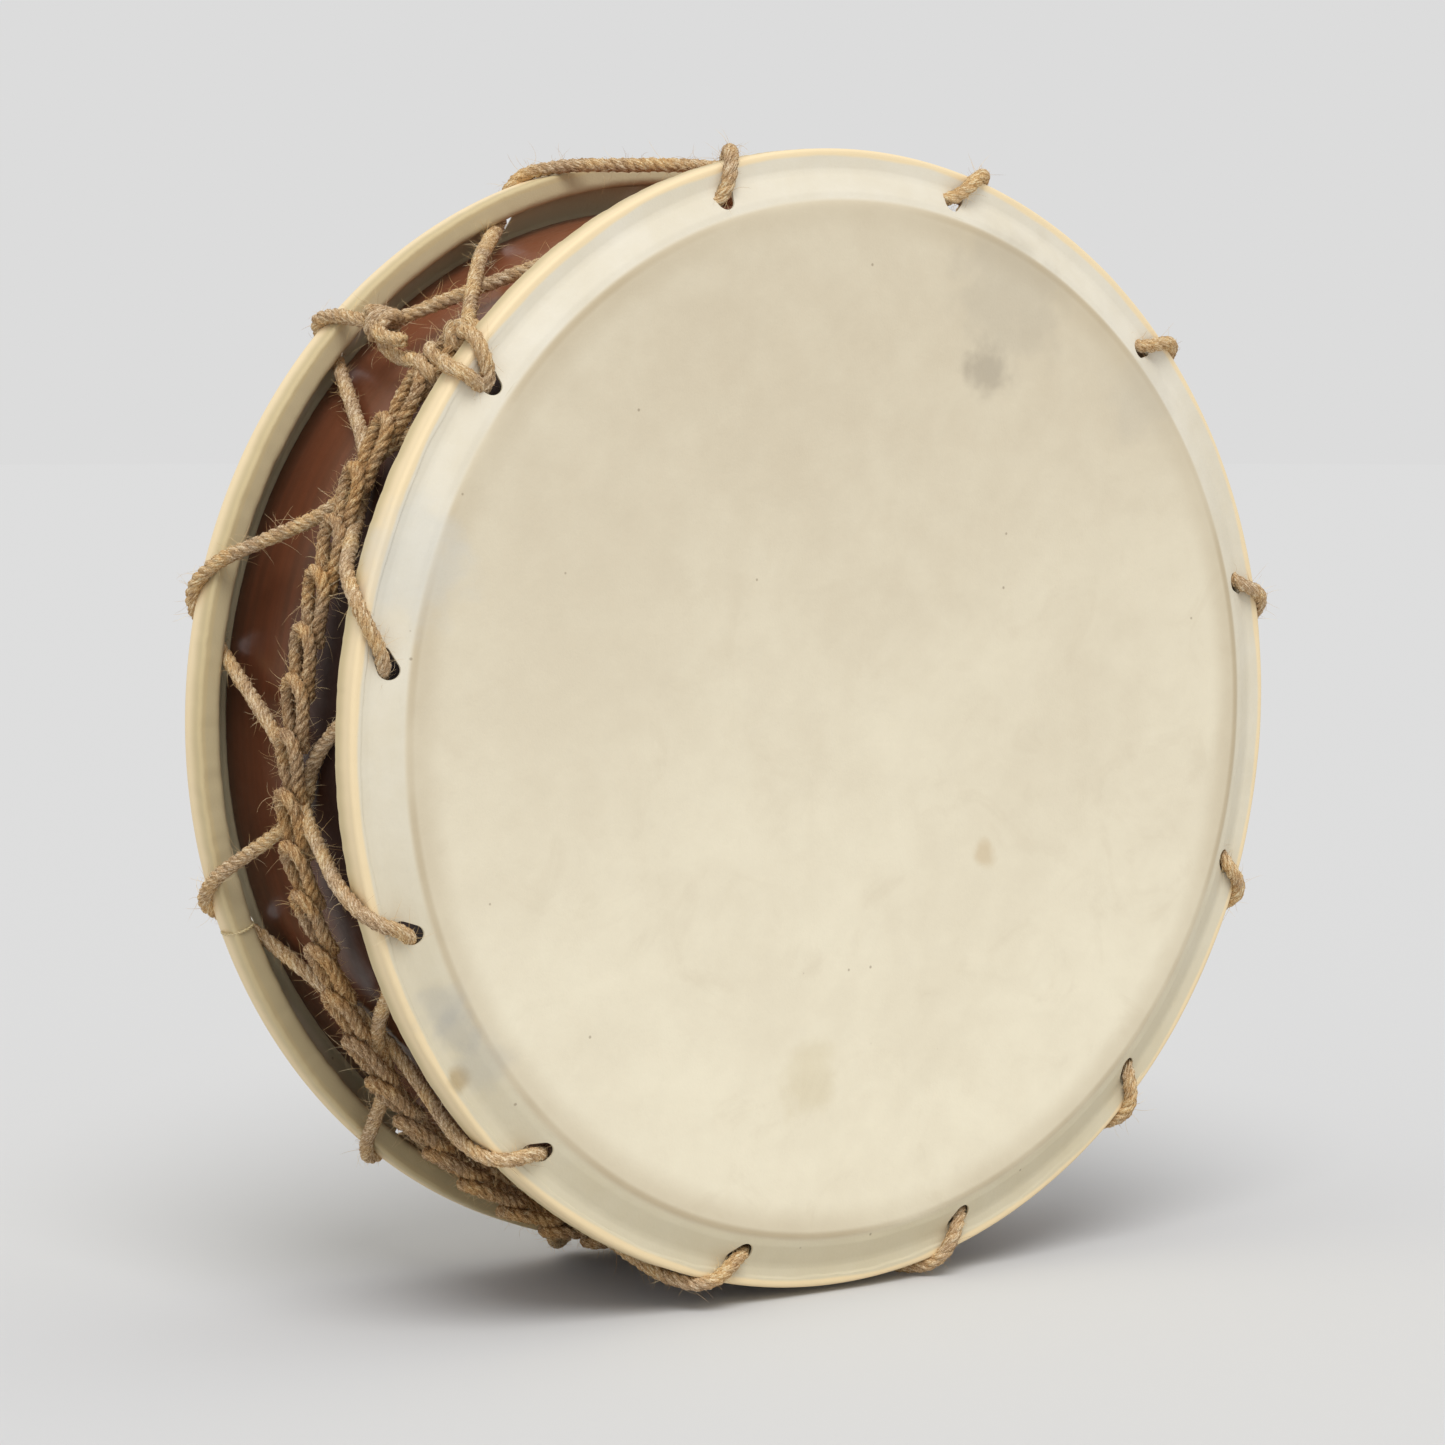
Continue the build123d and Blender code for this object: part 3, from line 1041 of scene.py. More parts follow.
# ---------------------------------------------------------------- the drum's pieces


@dataclass
class WoodenParts:
    """Shell, inner rings and flesh hoops, whose shapes come with the frame."""

    sizes: DrumSizes

    def dress(self) -> None:
        """Give each wooden node its finish."""
        lacquer = LacqueredWood(self.sizes.axis_height).material()
        bare = BareWood(self.sizes.axis_height).material()
        finishes = {
            "shell": lacquer,
            "front_inner_ring": bare,
            "rear_inner_ring": bare,
            "front_flesh_hoop": bare,
            "rear_flesh_hoop": bare,
        }
        for name, material in finishes.items():
            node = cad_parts[name]
            node.data.materials.clear()
            node.data.materials.append(material)
            LOG.info("%s: dressed with %s", name, material.name)


@dataclass
class DrumHead:
    """One skin: stretched over the shell, bent down to its hoop and lapped round it."""

    sizes: DrumSizes
    face: Face
    hole_angles: tuple[float, ...]
    rim_angles: tuple[float, ...]
    stains: tuple[Stain, ...] = ()
    flat_width: float = 0.52
    cutter_sides: int = 28
    hole_width: float = 0.0076
    notch_width: float = 0.0064
    worn_share: float = 0.28
    around: int = 720
    crisp_corner: float = 0.0016
    dent_depth: float = 0.0003
    dent_width: float = 0.0055
    swell: float = 0.00035
    lap_edge: float = 0.2186
    lap_step: float = 0.0005
    lap_middle: float = 130
    lap_reach: tuple[float, float] = (95, 60)
    pleat_depth: float = 0.00045
    lip_depth: float = 0.0003
    broad_pleats: float = 31.5
    fine_pleats: float = 91.7
    lip_waves: float = 51.6
    # The section's rings in mm: radius, radius and drop under the head or rise over the
    # hoop's face, and, on the lap, depth under the face or height over the back.
    head_rings: tuple[float, ...] = (10, 30, 60, 90, 120, 150, 175, 188, 195, 198.5)
    crease_bend: tuple[tuple[float, float], ...] = (
        (200.2, 0.04), (201.4, 0.16), (202.4, 0.38), (203.3, 0.78), (204.2, 1.24))
    slope_rings: tuple[float, ...] = (205.6, 206.8, 208, 209.2, 210.4, 211.6, 212.7, 213.6)
    foot_bend: tuple[tuple[float, float], ...] = ((214.4, 0.3), (215.0, 0.08))
    face_ring: float = 215.6
    face_spacing: float = 0.4
    face_count: int = 14
    side_rings: tuple[float, ...] = (3, 4.5, 6, 7.5, 9)
    inner_rings: tuple[float, ...] = (4.5, 6, 7.5, 9, 10.3)
    under_slope_rings: tuple[float, ...] = (212.4, 210.8, 209, 207, 205.2, 204)
    under_head_rings: tuple[float, ...] = (195, 150, 90, 40, 10)

    @property
    def name(self) -> str:
        """The node's name."""
        return self.face.name.lower() + "_skin"

    def section(self) -> list[tuple[float, float]]:
        """Section of the skin as a closed loop from the middle, radius and height outwards."""
        s = self.sizes
        plane, inner, outer, corner = s.head_plane, s.hoop_inner, s.hoop_outer, s.hoop_corner
        loop = [(r * MM, plane) for r in self.head_rings]
        loop += [(r * MM, plane - drop * MM) for r, drop in self.crease_bend]
        foot = inner + corner / 2
        slope = (plane - s.hoop_face) / (foot - s.crease_radius)
        loop += [(r * MM, plane - (r * MM - s.crease_radius) * slope) for r in self.slope_rings]
        loop += [(r * MM, s.hoop_face + rise * MM) for r, rise in self.foot_bend]
        for k in range(self.face_count):
            loop.append(((self.face_ring + self.face_spacing * k) * MM, s.hoop_face))
        crisp = self.crisp_corner
        loop.append((outer - crisp - self.face_spacing * MM, s.hoop_face))
        for turn in range(75, -1, -15):
            angle = math.radians(turn)
            loop.append((outer - crisp + crisp * math.cos(angle),
                         s.hoop_face - crisp + crisp * math.sin(angle)))
        loop += [(outer, s.hoop_face - depth * MM) for depth in self.side_rings]
        for turn in range(0, -91, -15):
            angle = math.radians(turn)
            loop.append((outer - crisp + crisp * math.cos(angle),
                         s.hoop_back + crisp + crisp * math.sin(angle)))
        loop += [(outer - crisp - 0.0013 * k, s.hoop_back) for k in (1, 2, 3)]
        for turn in range(-90, -181, -18):
            angle = math.radians(turn)
            loop.append((inner + corner + corner * math.cos(angle),
                         s.hoop_back + corner + corner * math.sin(angle)))
        loop += [(inner, s.hoop_back + rise * MM) for rise in self.inner_rings]
        under = plane - s.skin
        low = s.hoop_face - s.skin
        for r in self.under_slope_rings:
            loop.append((r * MM, low + (foot - r * MM) * (under - low) / (foot - 0.2033)))
        loop += [(0.2032, under - 0.00005), (0.2020, under)]
        loop += [(r * MM, under) for r in self.under_head_rings]
        return loop

    def shaped(self, angle: float, radius: float, height: float) -> tuple[float, float]:
        """Add the skin's small unevenness to a point of its section.

        Args:
            angle: Degrees round the drum.
            radius: The point's distance from the axis.
            height: Its height outwards.

        Returns:
            The new radius and height.
        """
        s = self.sizes
        turn = math.radians(angle)
        spot = Vector((math.cos(turn), math.sin(turn), self.face.value * 3.0))
        if height > s.hoop_face - 0.0005 and radius > s.crease_radius + 0.0006:
            span = smooth_step(s.crease_radius, s.crease_radius + 0.004, radius)
            height += span * self.swell * noise.noise(spot * 9)
            for hole, rim in zip(self.hole_angles, self.rim_angles):
                worn = hole + self.worn_share * (rim - hole)
                across = math.radians(short_way(angle, worn)) * radius
                reach = math.hypot(across, (radius - s.hole_radius) * 0.8)
                height -= self.dent_depth * math.exp(-((reach / self.dent_width) ** 2))
        if radius > s.hoop_inner + 0.0028 and height > s.hoop_face - 0.002:
            edge = self.lap_edge + 0.0012 * noise.noise(spot * 5) + 0.0006 * noise.noise(spot * 23)
            fold = smooth_step(*self.lap_reach, abs(short_way(angle, self.lap_middle)))
            height += self.lap_step * fold * smooth_step(edge - 0.0003, edge + 0.0003, radius)
        lap = smooth_step(s.hoop_face - 0.002, s.hoop_face - 0.007, height)
        if lap > 0 and radius > s.hoop_inner - 0.0005:
            pleat = 0.6 * noise.noise(spot * self.broad_pleats)
            pleat += 0.4 * noise.noise(spot * self.fine_pleats)
            middle = (s.hoop_inner + s.hoop_outer) / 2
            side = 1 if radius > middle else -1
            radius += side * lap * self.pleat_depth * pleat
            height += lap * self.lip_depth * noise.noise(spot * self.lip_waves)
        return radius, height

    def body(self) -> bpy.types.Mesh:
        """The skin's mesh before its holes are punched."""
        loop = self.section()
        s = self.sizes
        build = bmesh.new()
        side = self.face.value
        rings = []
        for step in range(self.around):
            angle = 360 * step / self.around
            ring = []
            for radius, height in loop:
                r, h = self.shaped(angle, radius, height)
                ring.append(build.verts.new(s.place(angle, r, side * h)))
            rings.append(ring)
        top = build.verts.new((0, side * s.head_plane, s.axis_height))
        under = build.verts.new((0, side * (s.head_plane - s.skin), s.axis_height))
        for step in range(self.around):
            here, ahead = rings[step], rings[(step + 1) % self.around]
            for k in range(len(loop) - 1):
                build.faces.new((here[k], here[k + 1], ahead[k + 1], ahead[k]))
            build.faces.new((top, here[0], ahead[0]))
            build.faces.new((under, ahead[-1], here[-1]))
        bmesh.ops.recalc_face_normals(build, faces=build.faces)
        mesh = bpy.data.meshes.new(self.name + "_visual")
        build.to_mesh(mesh)
        build.free()
        return mesh

    def punches(self) -> bpy.types.Object:
        """Cutter with one rounded wedge for each rope hole, wider at the hole than its notch."""
        s = self.sizes
        build = bmesh.new()
        for hole, rim in zip(self.hole_angles, self.rim_angles):
            worn = hole + self.worn_share * (rim - hole)
            points = []
            for angle, radius, width in (
                (hole, s.hole_radius, self.hole_width),
                (worn, s.hoop_inner, self.notch_width),
            ):
                middle = s.place(angle, radius, 0)
                for k in range(self.cutter_sides):
                    turn = 2 * math.pi * k / self.cutter_sides
                    rim_point = middle + Vector((math.cos(turn), 0, math.sin(turn))) * width / 2
                    for along in (s.hoop_face - 0.0005, s.head_plane + 0.003):
                        rim_point.y = self.face.value * along
                        points.append(build.verts.new(rim_point))
            result = bmesh.ops.convex_hull(build, input=points)
            spare = [e for e in result["geom_interior"] if isinstance(e, bmesh.types.BMVert)]
            bmesh.ops.delete(build, geom=spare, context="VERTS")
        bmesh.ops.recalc_face_normals(build, faces=build.faces)
        mesh = bpy.data.meshes.new("punches")
        build.to_mesh(mesh)
        build.free()
        cutter = bpy.data.objects.new("punches", mesh)
        bpy.context.scene.collection.objects.link(cutter)
        return cutter

    def build(self) -> bpy.types.Object:
        """Returns:
            The piece.
        """
        material = Rawhide(self.name + "_hide", self.sizes, self.face, self.stains).material()
        piece = new_piece(self.name + "_visual", self.body(), material)
        cutter = self.punches()
        bpy.ops.object.select_all(action="DESELECT")
        bpy.context.view_layer.objects.active = piece
        piece.select_set(True)
        cut = piece.modifiers.new("holes", "BOOLEAN")
        cut.operation = "DIFFERENCE"
        cut.solver = "EXACT"
        cut.object = cutter
        bpy.ops.object.modifier_apply(modifier=cut.name)
        bpy.data.objects.remove(cutter)
        piece.data.polygons.foreach_set("use_smooth", [True] * len(piece.data.polygons))
        bpy.ops.object.shade_smooth_by_angle(angle=math.radians(40))
        piece.select_set(False)
        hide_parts(self.name)
        self.face.name.lower() + "_flesh_hoop"
        LOG.info("%s: %d faces after punching", piece.name, len(piece.data.polygons))
        return piece


@dataclass
class Lacing:
    """Where the two lacing ropes run: their holes, rim crossings and crossings of each other."""

    sizes: DrumSizes
    front_holes: tuple[float, ...] = (
        16, 51, 82, 109, 137.5, 166.5, 196.5, 224.5, 251.5, 283.5, 314, 345.5)
    front_rims: tuple[float, ...] = (
        14, 48.5, 77, 106, 134, 163, 192.5, 221.5, 249, 281, 311.5, 342.5)
    rear_holes: tuple[float, ...] = (
        21.3, 46.8, 81, 112, 143.5, 171, 200, 228, 256, 287, 317, 349)
    rear_rims: tuple[float, ...] = (
        18, 46.2, 77, 108, 142, 168, 196.5, 224.5, 252.5, 283.5, 313.5, 345.5)
    # Degrees, place along the axis, and lift off the usual crossing radius.
    crossings: tuple[Spot, ...] = (
        (36, 0.001, 0.0035), (63, -0.014, 0), (95, -0.002, 0), (126, 0.004, 0),
        (152, 0.008, 0), (181, 0.002, 0), (210, -0.002, 0), (238, 0.002, 0),
        (267, 0, 0), (298, -0.003, 0), (330, 0, 0), (363.5, 0, 0.0035))
    front_knot: Spot = (46.8, -0.0418, 0.0165)
    rear_knot: Spot = (45.2, 0.024, 0.017)
    gathered: Sequence[int] = range(1, 11)
    shifted: int = 1
    gather_turn: float = 3.0
    gather_spread: float = 0.0032
    first_shift: float = 0.006
    gather_inner: float = 0.2064
    gather_outer: float = 0.2110
    first_rise: float = 1.0
    touch_gap: float = 0.0002

    @staticmethod
    def unwound(angles: Sequence[float], step: int) -> float:
        """Angle for a step of the lacing, counted on past a full turn."""
        turns, index = divmod(step, len(angles))
        return angles[index] + 360 * turns

    def crossing(self, step: int, upper: bool) -> Vector:
        """Point where a rope crosses the other one, over it or under it."""
        angle, along, lift = self.crossings[step % len(self.crossings)]
        s = self.sizes
        radius = s.outer_crossing if upper else s.inner_crossing
        return s.place(angle, radius + lift, along)

    def gather(self, step: int, upper: bool, towards: int) -> list[Vector]:
        """Points where the chain draws a rope in: it runs beside the other one, then leaves.

        Args:
            step: Which crossing.
            upper: True for the rope that passes over the other.
            towards: -1 for a rope on its way to the front, 1 for one on its way to the rear.

        Returns:
            One point where the crossing is not gathered, or two.
        """
        index = step % len(self.crossings)
        if index not in self.gathered:
            return [self.crossing(step, upper)]
        angle, along, _ = self.crossings[index]
        radius = self.gather_outer if upper else self.gather_inner
        spread = towards * self.gather_spread
        if index == self.shifted:
            along += self.first_shift
        return [
            self.sizes.place(angle - self.gather_turn, radius, along - spread),
            self.sizes.place(angle + self.gather_turn, radius, along + spread),
        ]

    def over_rim(self, step: int, front: bool) -> list[Vector]:
        """Points over one rim: hoop's back edge, its outer edge, and above the hole."""
        s = self.sizes
        side = -1 if front else 1
        hole = self.unwound(self.front_holes if front else self.rear_holes, step)
        rim = self.unwound(self.front_rims if front else self.rear_rims, step)
        cross = self.crossings[step - 1][0]
        back_edge = s.hoop_back - s.rope_radius / 2
        back = cross + back_edge / s.rope_over_face * (rim - cross)
        if step == 1:
            back = rim - self.first_rise
        return [
            s.place(back, s.rope_over_rim, side * back_edge),
            s.place(rim, s.rope_over_rim, side * s.rope_over_face),
            s.place(hole, s.rope_in_gap, side * s.rope_over_face),
        ]

    def knot_middle(self, front: bool) -> tuple[Vector, Vector]:
        """Middle of a knot, and the rope's direction through it."""
        middle = self.sizes.off_shell(self.front_knot if front else self.rear_knot)
        return middle, (self.over_rim(1, front)[0] - middle).normalized()

    @staticmethod
    def near_corner(corner: Vector, other: Vector, towards: Vector) -> Vector:
        """Point on a long run beside a corner, as far from it as the corner's other point."""
        reach = (other - corner).length
        return corner + (towards - corner).normalized() * reach

    def route(self, first_front: bool) -> list[Vector]:
        """Control points of one lacing rope, once round the drum.

        Args:
            first_front: True for the rope that starts over the front rim.

        Returns:
            The points, from its knot back to its knot.
        """
        middle, along = self.knot_middle(first_front)
        points = [middle + along * self.touch_gap]
        for step in range(1, len(self.crossings) + 1):
            front = first_front == (step % 2 == 1)
            back, rim, hole = self.over_rim(step, front)
            crossing = self.gather(step, first_front, 1 if front else -1)
            if step > 1:
                points.append(self.near_corner(back, rim, points[-1]))
            points += [back, rim, hole]
            points.append(self.near_corner(hole, rim, crossing[0]))
            points += crossing
        points.append(middle - along * self.touch_gap)
        return points


@dataclass
class LacingRope:
    """One laid rope, laced from rim to rim round the whole drum."""

    lacing: Lacing
    node: str
    first_front: bool
    length: float
    material: bpy.types.Material
    lay: RopeLay = RopeLay()
    line: list[Vector] = field(init=False)

    def build(self, with_pieces: Sequence[bpy.types.Object]) -> bpy.types.Object:
        """Args:
            with_pieces: The pieces on it, such as its knot. Not used.

        Returns:
            The piece.
        """
        self.line = line = smooth_line(self.node, self.lacing.route(self.first_front))
        strands = RopeMesh(self.lay)
        strands.rope(line)
        piece = new_piece(self.node + "_visual", strands.mesh(self.node + "_visual"),
                          self.material)
        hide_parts(self.node)
        LOG.info("%s: %.3f m along its middle", piece.name, line_length(line))
        return piece


@dataclass
class ChainPlait:
    """Rope crocheted into a chain that gathers the lacing round the middle of the drum."""

    sizes: DrumSizes
    front_knot: Vector
    material: bpy.types.Material
    route: tuple[Spot, ...] = (
        (49.3, -0.035, 0.0145), (55.6, -0.025, 0.013), (64, -0.017, 0.0132),
        (79, -0.014, 0.0126), (95, -0.003, 0.0132), (109, -0.001, 0.0126),
        (124, 0.005, 0.0134), (138, 0.008, 0.0155), (152, 0.007, 0.0185),
        (166, 0.005, 0.0140), (181, 0.002, 0.0132), (196, -0.003, 0.0126),
        (210, -0.001, 0.0132), (224, 0.003, 0.0126), (238, 0.001, 0.0132),
        (253, -0.003, 0.0126), (267, 0, 0.0132), (283, 0.002, 0.0126),
        (298, -0.002, 0.0132), (314, -0.004, 0.0126), (330, 0, 0.0132),
        (336, 0.0015, 0.0128))
    stitch: float = 0.0205
    length: float = 1.094
    diameter: float = 0.013
    seed: int = 7
    lay: RopeLay = RopeLay(strand_radius=0.00176, centre_offset=0.00112, sides=7, spacing=0.0014)
    slip: float = 0.06
    widths: tuple[float, float] = (0.96, 1.12)
    sway: float = 0.4
    start_stitches: float = 0.2
    end_stitches: float = 1.2
    line: list[Vector] = field(init=False)
    strand: list[Vector] = field(init=False)
    # Place along in stitches, across in mm and outwards in mm, for one loop of the chain.
    loop: tuple[Spot, ...] = (
        (1.22, -2.2, -2.4), (1.02, -2.5, -0.8), (0.66, -4.9, 1.2), (0.28, -5.7, 2.6),
        (0.02, -4.4, 4.2), (-0.10, 0.0, 5.0), (-0.02, 4.0, 4.2), (0.24, 5.8, 2.6),
        (0.66, 4.9, 1.2), (1.02, 2.9, -0.8), (1.20, 3.4, -2.6), (1.46, 5.0, -3.2),
        (1.80, 5.0, -3.4), (2.06, 1.2, -3.4))

    def stitches(self) -> list[Vector]:
        """Control points of the rope in the chain, loop after loop, each a little different."""
        even = evenly(self.line, MM)
        ahead = tangents(even)
        total = line_length(even)
        chance = random.Random(self.seed)
        count = int(total / self.stitch) - 1
        pitch = total / (count + self.end_stitches)
        path = []
        for number in range(count):
            slip = chance.uniform(-self.slip, self.slip)
            wide = chance.uniform(*self.widths)
            sway = chance.uniform(-self.sway, self.sway) * MM
            for along, across, out in self.loop:
                place = (number + along + slip + self.start_stitches) * pitch
                index = min(max(round(place / total * (len(even) - 1)), 0), len(even) - 1)
                middle, forward = even[index], ahead[index]
                up = self.sizes.outward(middle)
                up = (up - forward * up.dot(forward)).normalized()
                side = forward.cross(up)
                path.append(middle + side * (across * wide * MM + sway) + up * out * MM)
        return path

    def build(self) -> bpy.types.Object:
        """Returns:
            The piece.
        """
        points = [self.front_knot] + [self.sizes.off_shell(spot) for spot in self.route]
        self.line = line = smooth_line("chain", points)
        self.strand = smooth_line("chain_strand", self.stitches(), 8)
        strands = RopeMesh(self.lay)
        strands.rope(self.strand)
        piece = new_piece("chain_plait_visual", strands.mesh("chain_plait_visual"),
                          self.material)
        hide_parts("chain_plait")
        LOG.info("%s: %.3f m along its middle, %.2f m of rope in its stitches", piece.name,
                 line_length(line), line_length(self.strand))
        return piece


@dataclass
class RopeWork:
    """A short length of rope, or several, along given points: knots, ends and ties."""

    node: str
    sizes: DrumSizes
    routes: tuple[tuple[Spot, ...], ...]
    material: bpy.types.Material
    slot: str = "rope"
    lay: RopeLay = RopeLay()
    first_turns: float = 1.3
    lines: list[list[Vector]] = field(init=False, default_factory=list)
    piece: bpy.types.Object = field(init=False)

    def build(self) -> "RopeWork":
        """Make the piece along its routes.

        Returns:
            This rope work, with its piece.
        """
        strands = RopeMesh(self.lay)
        for number, route in enumerate(self.routes):
            line = smooth_line(self.node, [self.sizes.off_shell(spot) for spot in route])
            self.lines.append(line)
            strands.rope(line, turn=number * self.first_turns)
        self.piece = new_piece(self.node + "_visual", strands.mesh(self.node + "_visual"),
                               self.material)
        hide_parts(self.node)
        return self

    def declare(self, diameter: float, far_end: str) -> None:
        """Declare its rope as a tight cord.

        Args:
            diameter: The cord's diameter. Not used.
            far_end: What is at its far end. Not used.
        """


@dataclass(frozen=True)
class Winding:
    """Rope wound round another rope: its turns, its distance from it and its rise in a turn."""

    turns: float
    radius: float
    rise: float
    steps: int = 8

    def spots(self, middle: Vector, along: Vector, sizes: DrumSizes) -> tuple[Spot, ...]:
        """Control points of the winding.

        Args:
            middle: Middle of the winding.
            along: Direction of the rope inside it.
            sizes: The drum's sizes.

        Returns:
            Degrees, place along the drum's axis and distance off the shell, for each point.
        """
        side = along.cross(sizes.outward(middle)).normalized()
        up = side.cross(along).normalized()
        spots = []
        for k in range(round(self.turns * self.steps) + 1):
            turn = 2 * math.pi * k / self.steps
            place = middle + along * self.rise * (k / self.steps - self.turns / 2)
            place = place + (side * math.cos(turn) + up * math.sin(turn)) * self.radius
            height = place.z - sizes.axis_height
            angle = math.degrees(math.atan2(-place.x, height))
            spots.append((angle, place.y, math.hypot(place.x, height) - sizes.shell_radius))
        return tuple(spots)


@dataclass
class Knots:
    """The two knots where the lacing ropes meet their own ends, and the rear one's cut end."""

    sizes: DrumSizes
    lacing: Lacing
    jute: bpy.types.Material
    round_lacing: Winding = Winding(2.2, 0.0052, 0.0054)
    round_chain: Winding = Winding(1.6, 0.0066, 0.0058)
    chain_start: Spot = (50.2, -0.033, 0.0145)
    chain_next: Spot = (55.6, -0.025, 0.013)
    over_rim: tuple[Spot, ...] = (
        (50.3, -0.044, 0.019), (52.0, -0.056, 0.0243), (52.3, -0.0658, 0.0225),
        (51.9, -0.0655, 0.014), (51.6, -0.060, 0.0076), (51.6, -0.050, 0.007))
    cut_route: tuple[Spot, ...] = (
        (45.2, 0.024, 0.020), (46.6, 0.020, 0.0205), (47.3, 0.012, 0.018), (47.4, -0.001, 0.017))
    front: RopeWork = field(init=False)
    rear: RopeWork = field(init=False)
    cut: RopeWork = field(init=False)

    def turns_at(self, front: bool) -> tuple[Spot, ...]:
        """The winding round one lacing rope."""
        return self.round_lacing.spots(*self.lacing.knot_middle(front), self.sizes)

    def build(self) -> None:
        """Make both knots and the cut end."""
        start = self.sizes.off_shell(self.chain_start)
        ahead = (self.sizes.off_shell(self.chain_next) - start).normalized()
        at_chain = self.round_chain.spots(start, ahead, self.sizes)
        routes = (self.turns_at(True), at_chain, self.over_rim)
        self.front = RopeWork("front_knot", self.sizes, routes, self.jute).build()
        routes = (self.turns_at(False),)
        self.rear = RopeWork("rear_knot", self.sizes, routes, self.jute).build()
        self.cut = RopeWork("cut_end", self.sizes, (self.cut_route,), self.jute).build()


@dataclass
class Ties:
    """The cord from the rear knot to the chain, and the pale thread round the rear hoop."""

    sizes: DrumSizes
    jute: bpy.types.Material
    tie_route: tuple[Spot, ...] = (
        (46.4, 0.024, 0.0135), (47.9, 0.015, 0.0095), (48.4, -0.009, 0.0095), (50, -0.034, 0.013))
    thread_route: tuple[Spot, ...] = (
        (111, 0.05915, 0.0096), (111, 0.04925, 0.0096), (111, 0.04925, 0.0214),
        (111, 0.06305, 0.0214), (111, 0.06305, 0.0155))
    thread_lay: RopeLay = RopeLay(strands=2, strand_radius=0.00038, centre_offset=0.0003,
                                  pitch=0.0032, sides=6, spacing=0.0005)
    linen: Jute = Jute("linen_thread", srgb(236, 222, 190), srgb(214, 196, 156),
                       srgb(168, 148, 110), 0.0001)
    thread_diameter: float = 0.0014

    def tie(self) -> RopeWork:
        work = RopeWork("tie_cord", self.sizes, (self.tie_route,), self.jute).build()
        work.declare(2 * self.sizes.rope_radius, "object")
        return work

    def thread(self) -> RopeWork:
        work = RopeWork("rear_hoop_thread", self.sizes, (self.thread_route,),
                        self.linen.material(), "thread", self.thread_lay).build()
        work.declare(self.thread_diameter, "bare")
        return work


@dataclass
class Fluff:
    """Stray fibres on all the jute."""

    sizes: DrumSizes
    finish: Jute = Jute("jute_fluff", srgb(240, 222, 188), srgb(208, 180, 140),
                        srgb(150, 120, 86), 0.0)
    chain_rope_radius: float = 0.0028

    def build(self, ropes: Sequence[LacingRope], chain: ChainPlait,
              works: Sequence[RopeWork]) -> None:
        """Make one piece of fluff for each lacing rope, for the chain and for all the knots.

        Args:
            ropes: The lacing ropes.
            chain: The chain.
            works: The knots, the cut end and the tie cord.
        """
        material = self.finish.material()
        radius = self.sizes.rope_radius
        coats = [(rope.node + "_fuzz", [rope.line], radius) for rope in ropes]
        coats.append(("chain_plait_fuzz", [chain.strand], self.chain_rope_radius))
        coats.append(("knot_fuzz", [line for work in works for line in work.lines], radius))
        for seed, (name, lines, around) in enumerate(coats, start=1):
            mesh = RopeFuzz(seed, around).mesh(name, lines, self.sizes.buried)
            new_piece(name, mesh, material)


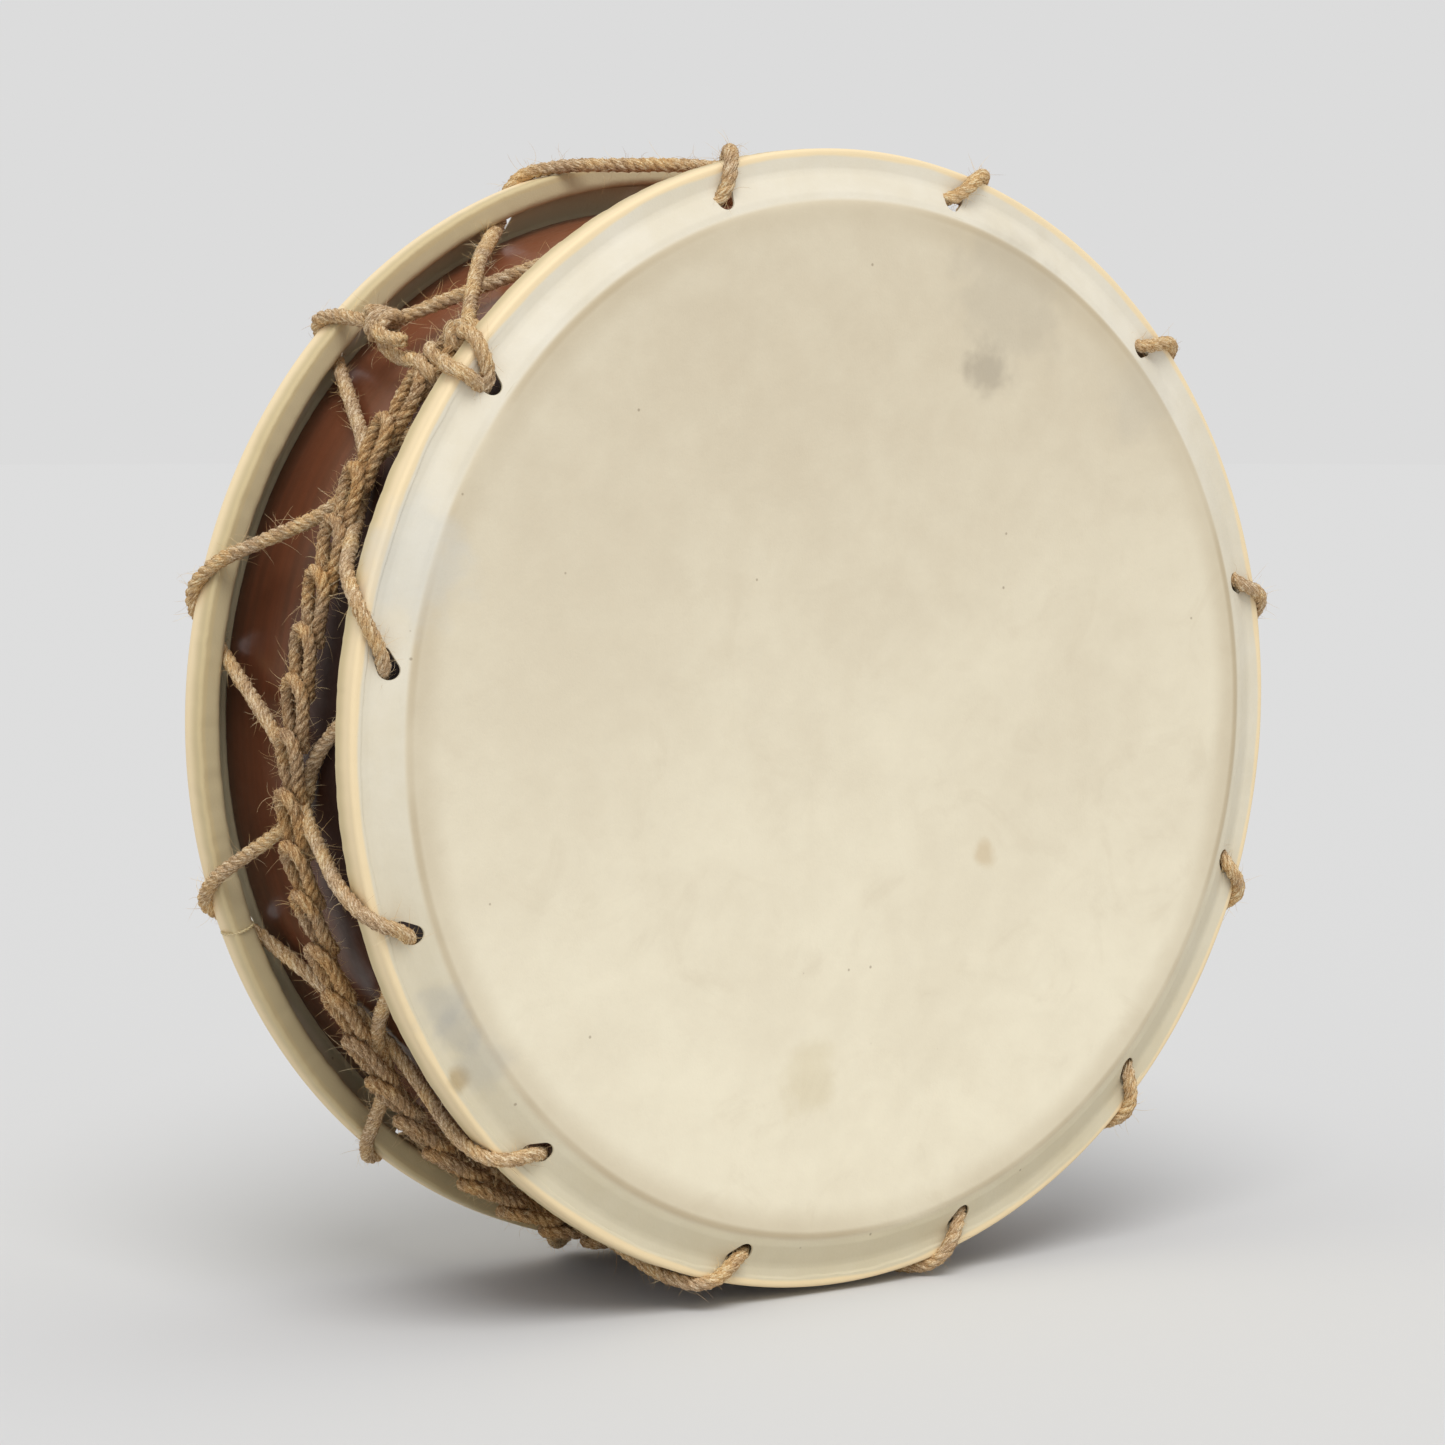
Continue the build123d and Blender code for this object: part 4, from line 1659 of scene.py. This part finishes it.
@dataclass
class Studio:
    """Plain pale ground, soft light and the camera."""

    camera_at: Spot = (-1.02926, -1.41609, 0.36649)
    camera_target: Spot = (-0.05716, -0.06215, 0.22822)
    lens: float = 108.54
    sensor: float = 36.0
    ground_radius: float = 14.0
    ground_drop: float = 0.0005
    sky: Colour = srgb(220, 220, 220)
    sky_strength: float = 1.0
    sun_strength: float = 1.6
    sun_spread: float = 35.0
    sun_towards: Spot = (0.35, 0.62, -1.0)

    def ground(self) -> None:
        """Wide pale ground under the drum."""
        bpy.ops.object.select_all(action="DESELECT")
        bpy.ops.mesh.primitive_circle_add(vertices=96, radius=self.ground_radius,
                                          fill_type="NGON", location=(0, 0, -self.ground_drop))
        floor = bpy.context.object
        floor.name = "ground"
        bpy.ops.object.transform_apply(location=True, rotation=True, scale=True)
        floor.data.materials.append(PaleGround().material())

    def lights(self) -> None:
        """Even sky and one wide soft light from the upper left."""
        scene = bpy.context.scene
        scene.view_settings.view_transform = "Standard"
        world = bpy.data.worlds.new("studio")
        world.use_nodes = True
        back = world.node_tree.nodes["Background"]
        back.inputs[0].default_value = self.sky
        back.inputs[1].default_value = self.sky_strength
        scene.world = world
        lamp = bpy.data.lights.new("key", "SUN")
        lamp.energy = self.sun_strength
        lamp.angle = math.radians(self.sun_spread)
        key = bpy.data.objects.new("key", lamp)
        scene.collection.objects.link(key)
        key.rotation_euler = Vector(self.sun_towards).to_track_quat("-Z", "Y").to_euler()

    def camera(self) -> None:
        """Camera at its place, looking at its target."""
        data = bpy.data.cameras.new("camera")
        data.lens = self.lens
        data.sensor_width = self.sensor
        camera = bpy.data.objects.new("camera", data)
        bpy.context.scene.collection.objects.link(camera)
        camera.location = self.camera_at
        direction = Vector(self.camera_target) - Vector(self.camera_at)
        camera.rotation_euler = direction.to_track_quat("-Z", "Y").to_euler()
        bpy.context.scene.camera = camera


def main() -> None:
    """Build the drum in order: wood, skins, knots, lacing, chain, ties, fluff and studio."""
    logging.basicConfig(level=logging.INFO, format="%(message)s")
    low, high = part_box("shell")
    sizes = DrumSizes(axis_height=(low.z + high.z) / 2)
    studio = Studio()
    studio.camera()
    WoodenParts(sizes).dress()
    lacing = Lacing(sizes)
    DrumHead(sizes, Face.FRONT, lacing.front_holes, lacing.front_rims, FRONT_STAINS).build()
    DrumHead(sizes, Face.REAR, lacing.rear_holes, lacing.rear_rims).build()
    jute = Jute().material()
    knots = Knots(sizes, lacing, jute)
    knots.build()
    rope_a = LacingRope(lacing, "lacing_rope_a", True, 2.227, jute)
    rope_a.build([knots.front.piece])
    rope_b = LacingRope(lacing, "lacing_rope_b", False, 2.244, jute)
    rope_b.build([knots.rear.piece, knots.cut.piece])
    ties = Ties(sizes, jute)
    tie = ties.tie()
    worn_jute = Jute("worn_jute", srgb(230, 206, 170), srgb(182, 147, 110), srgb(100, 74, 49))
    chain = ChainPlait(sizes, lacing.knot_middle(True)[0], worn_jute.material())
    chain.build()
    ties.thread()
    Fluff(sizes).build((rope_a, rope_b), chain, (knots.front, knots.rear, knots.cut, tie))
    studio.ground()
    studio.lights()


if __name__ == "__main__":
    main()
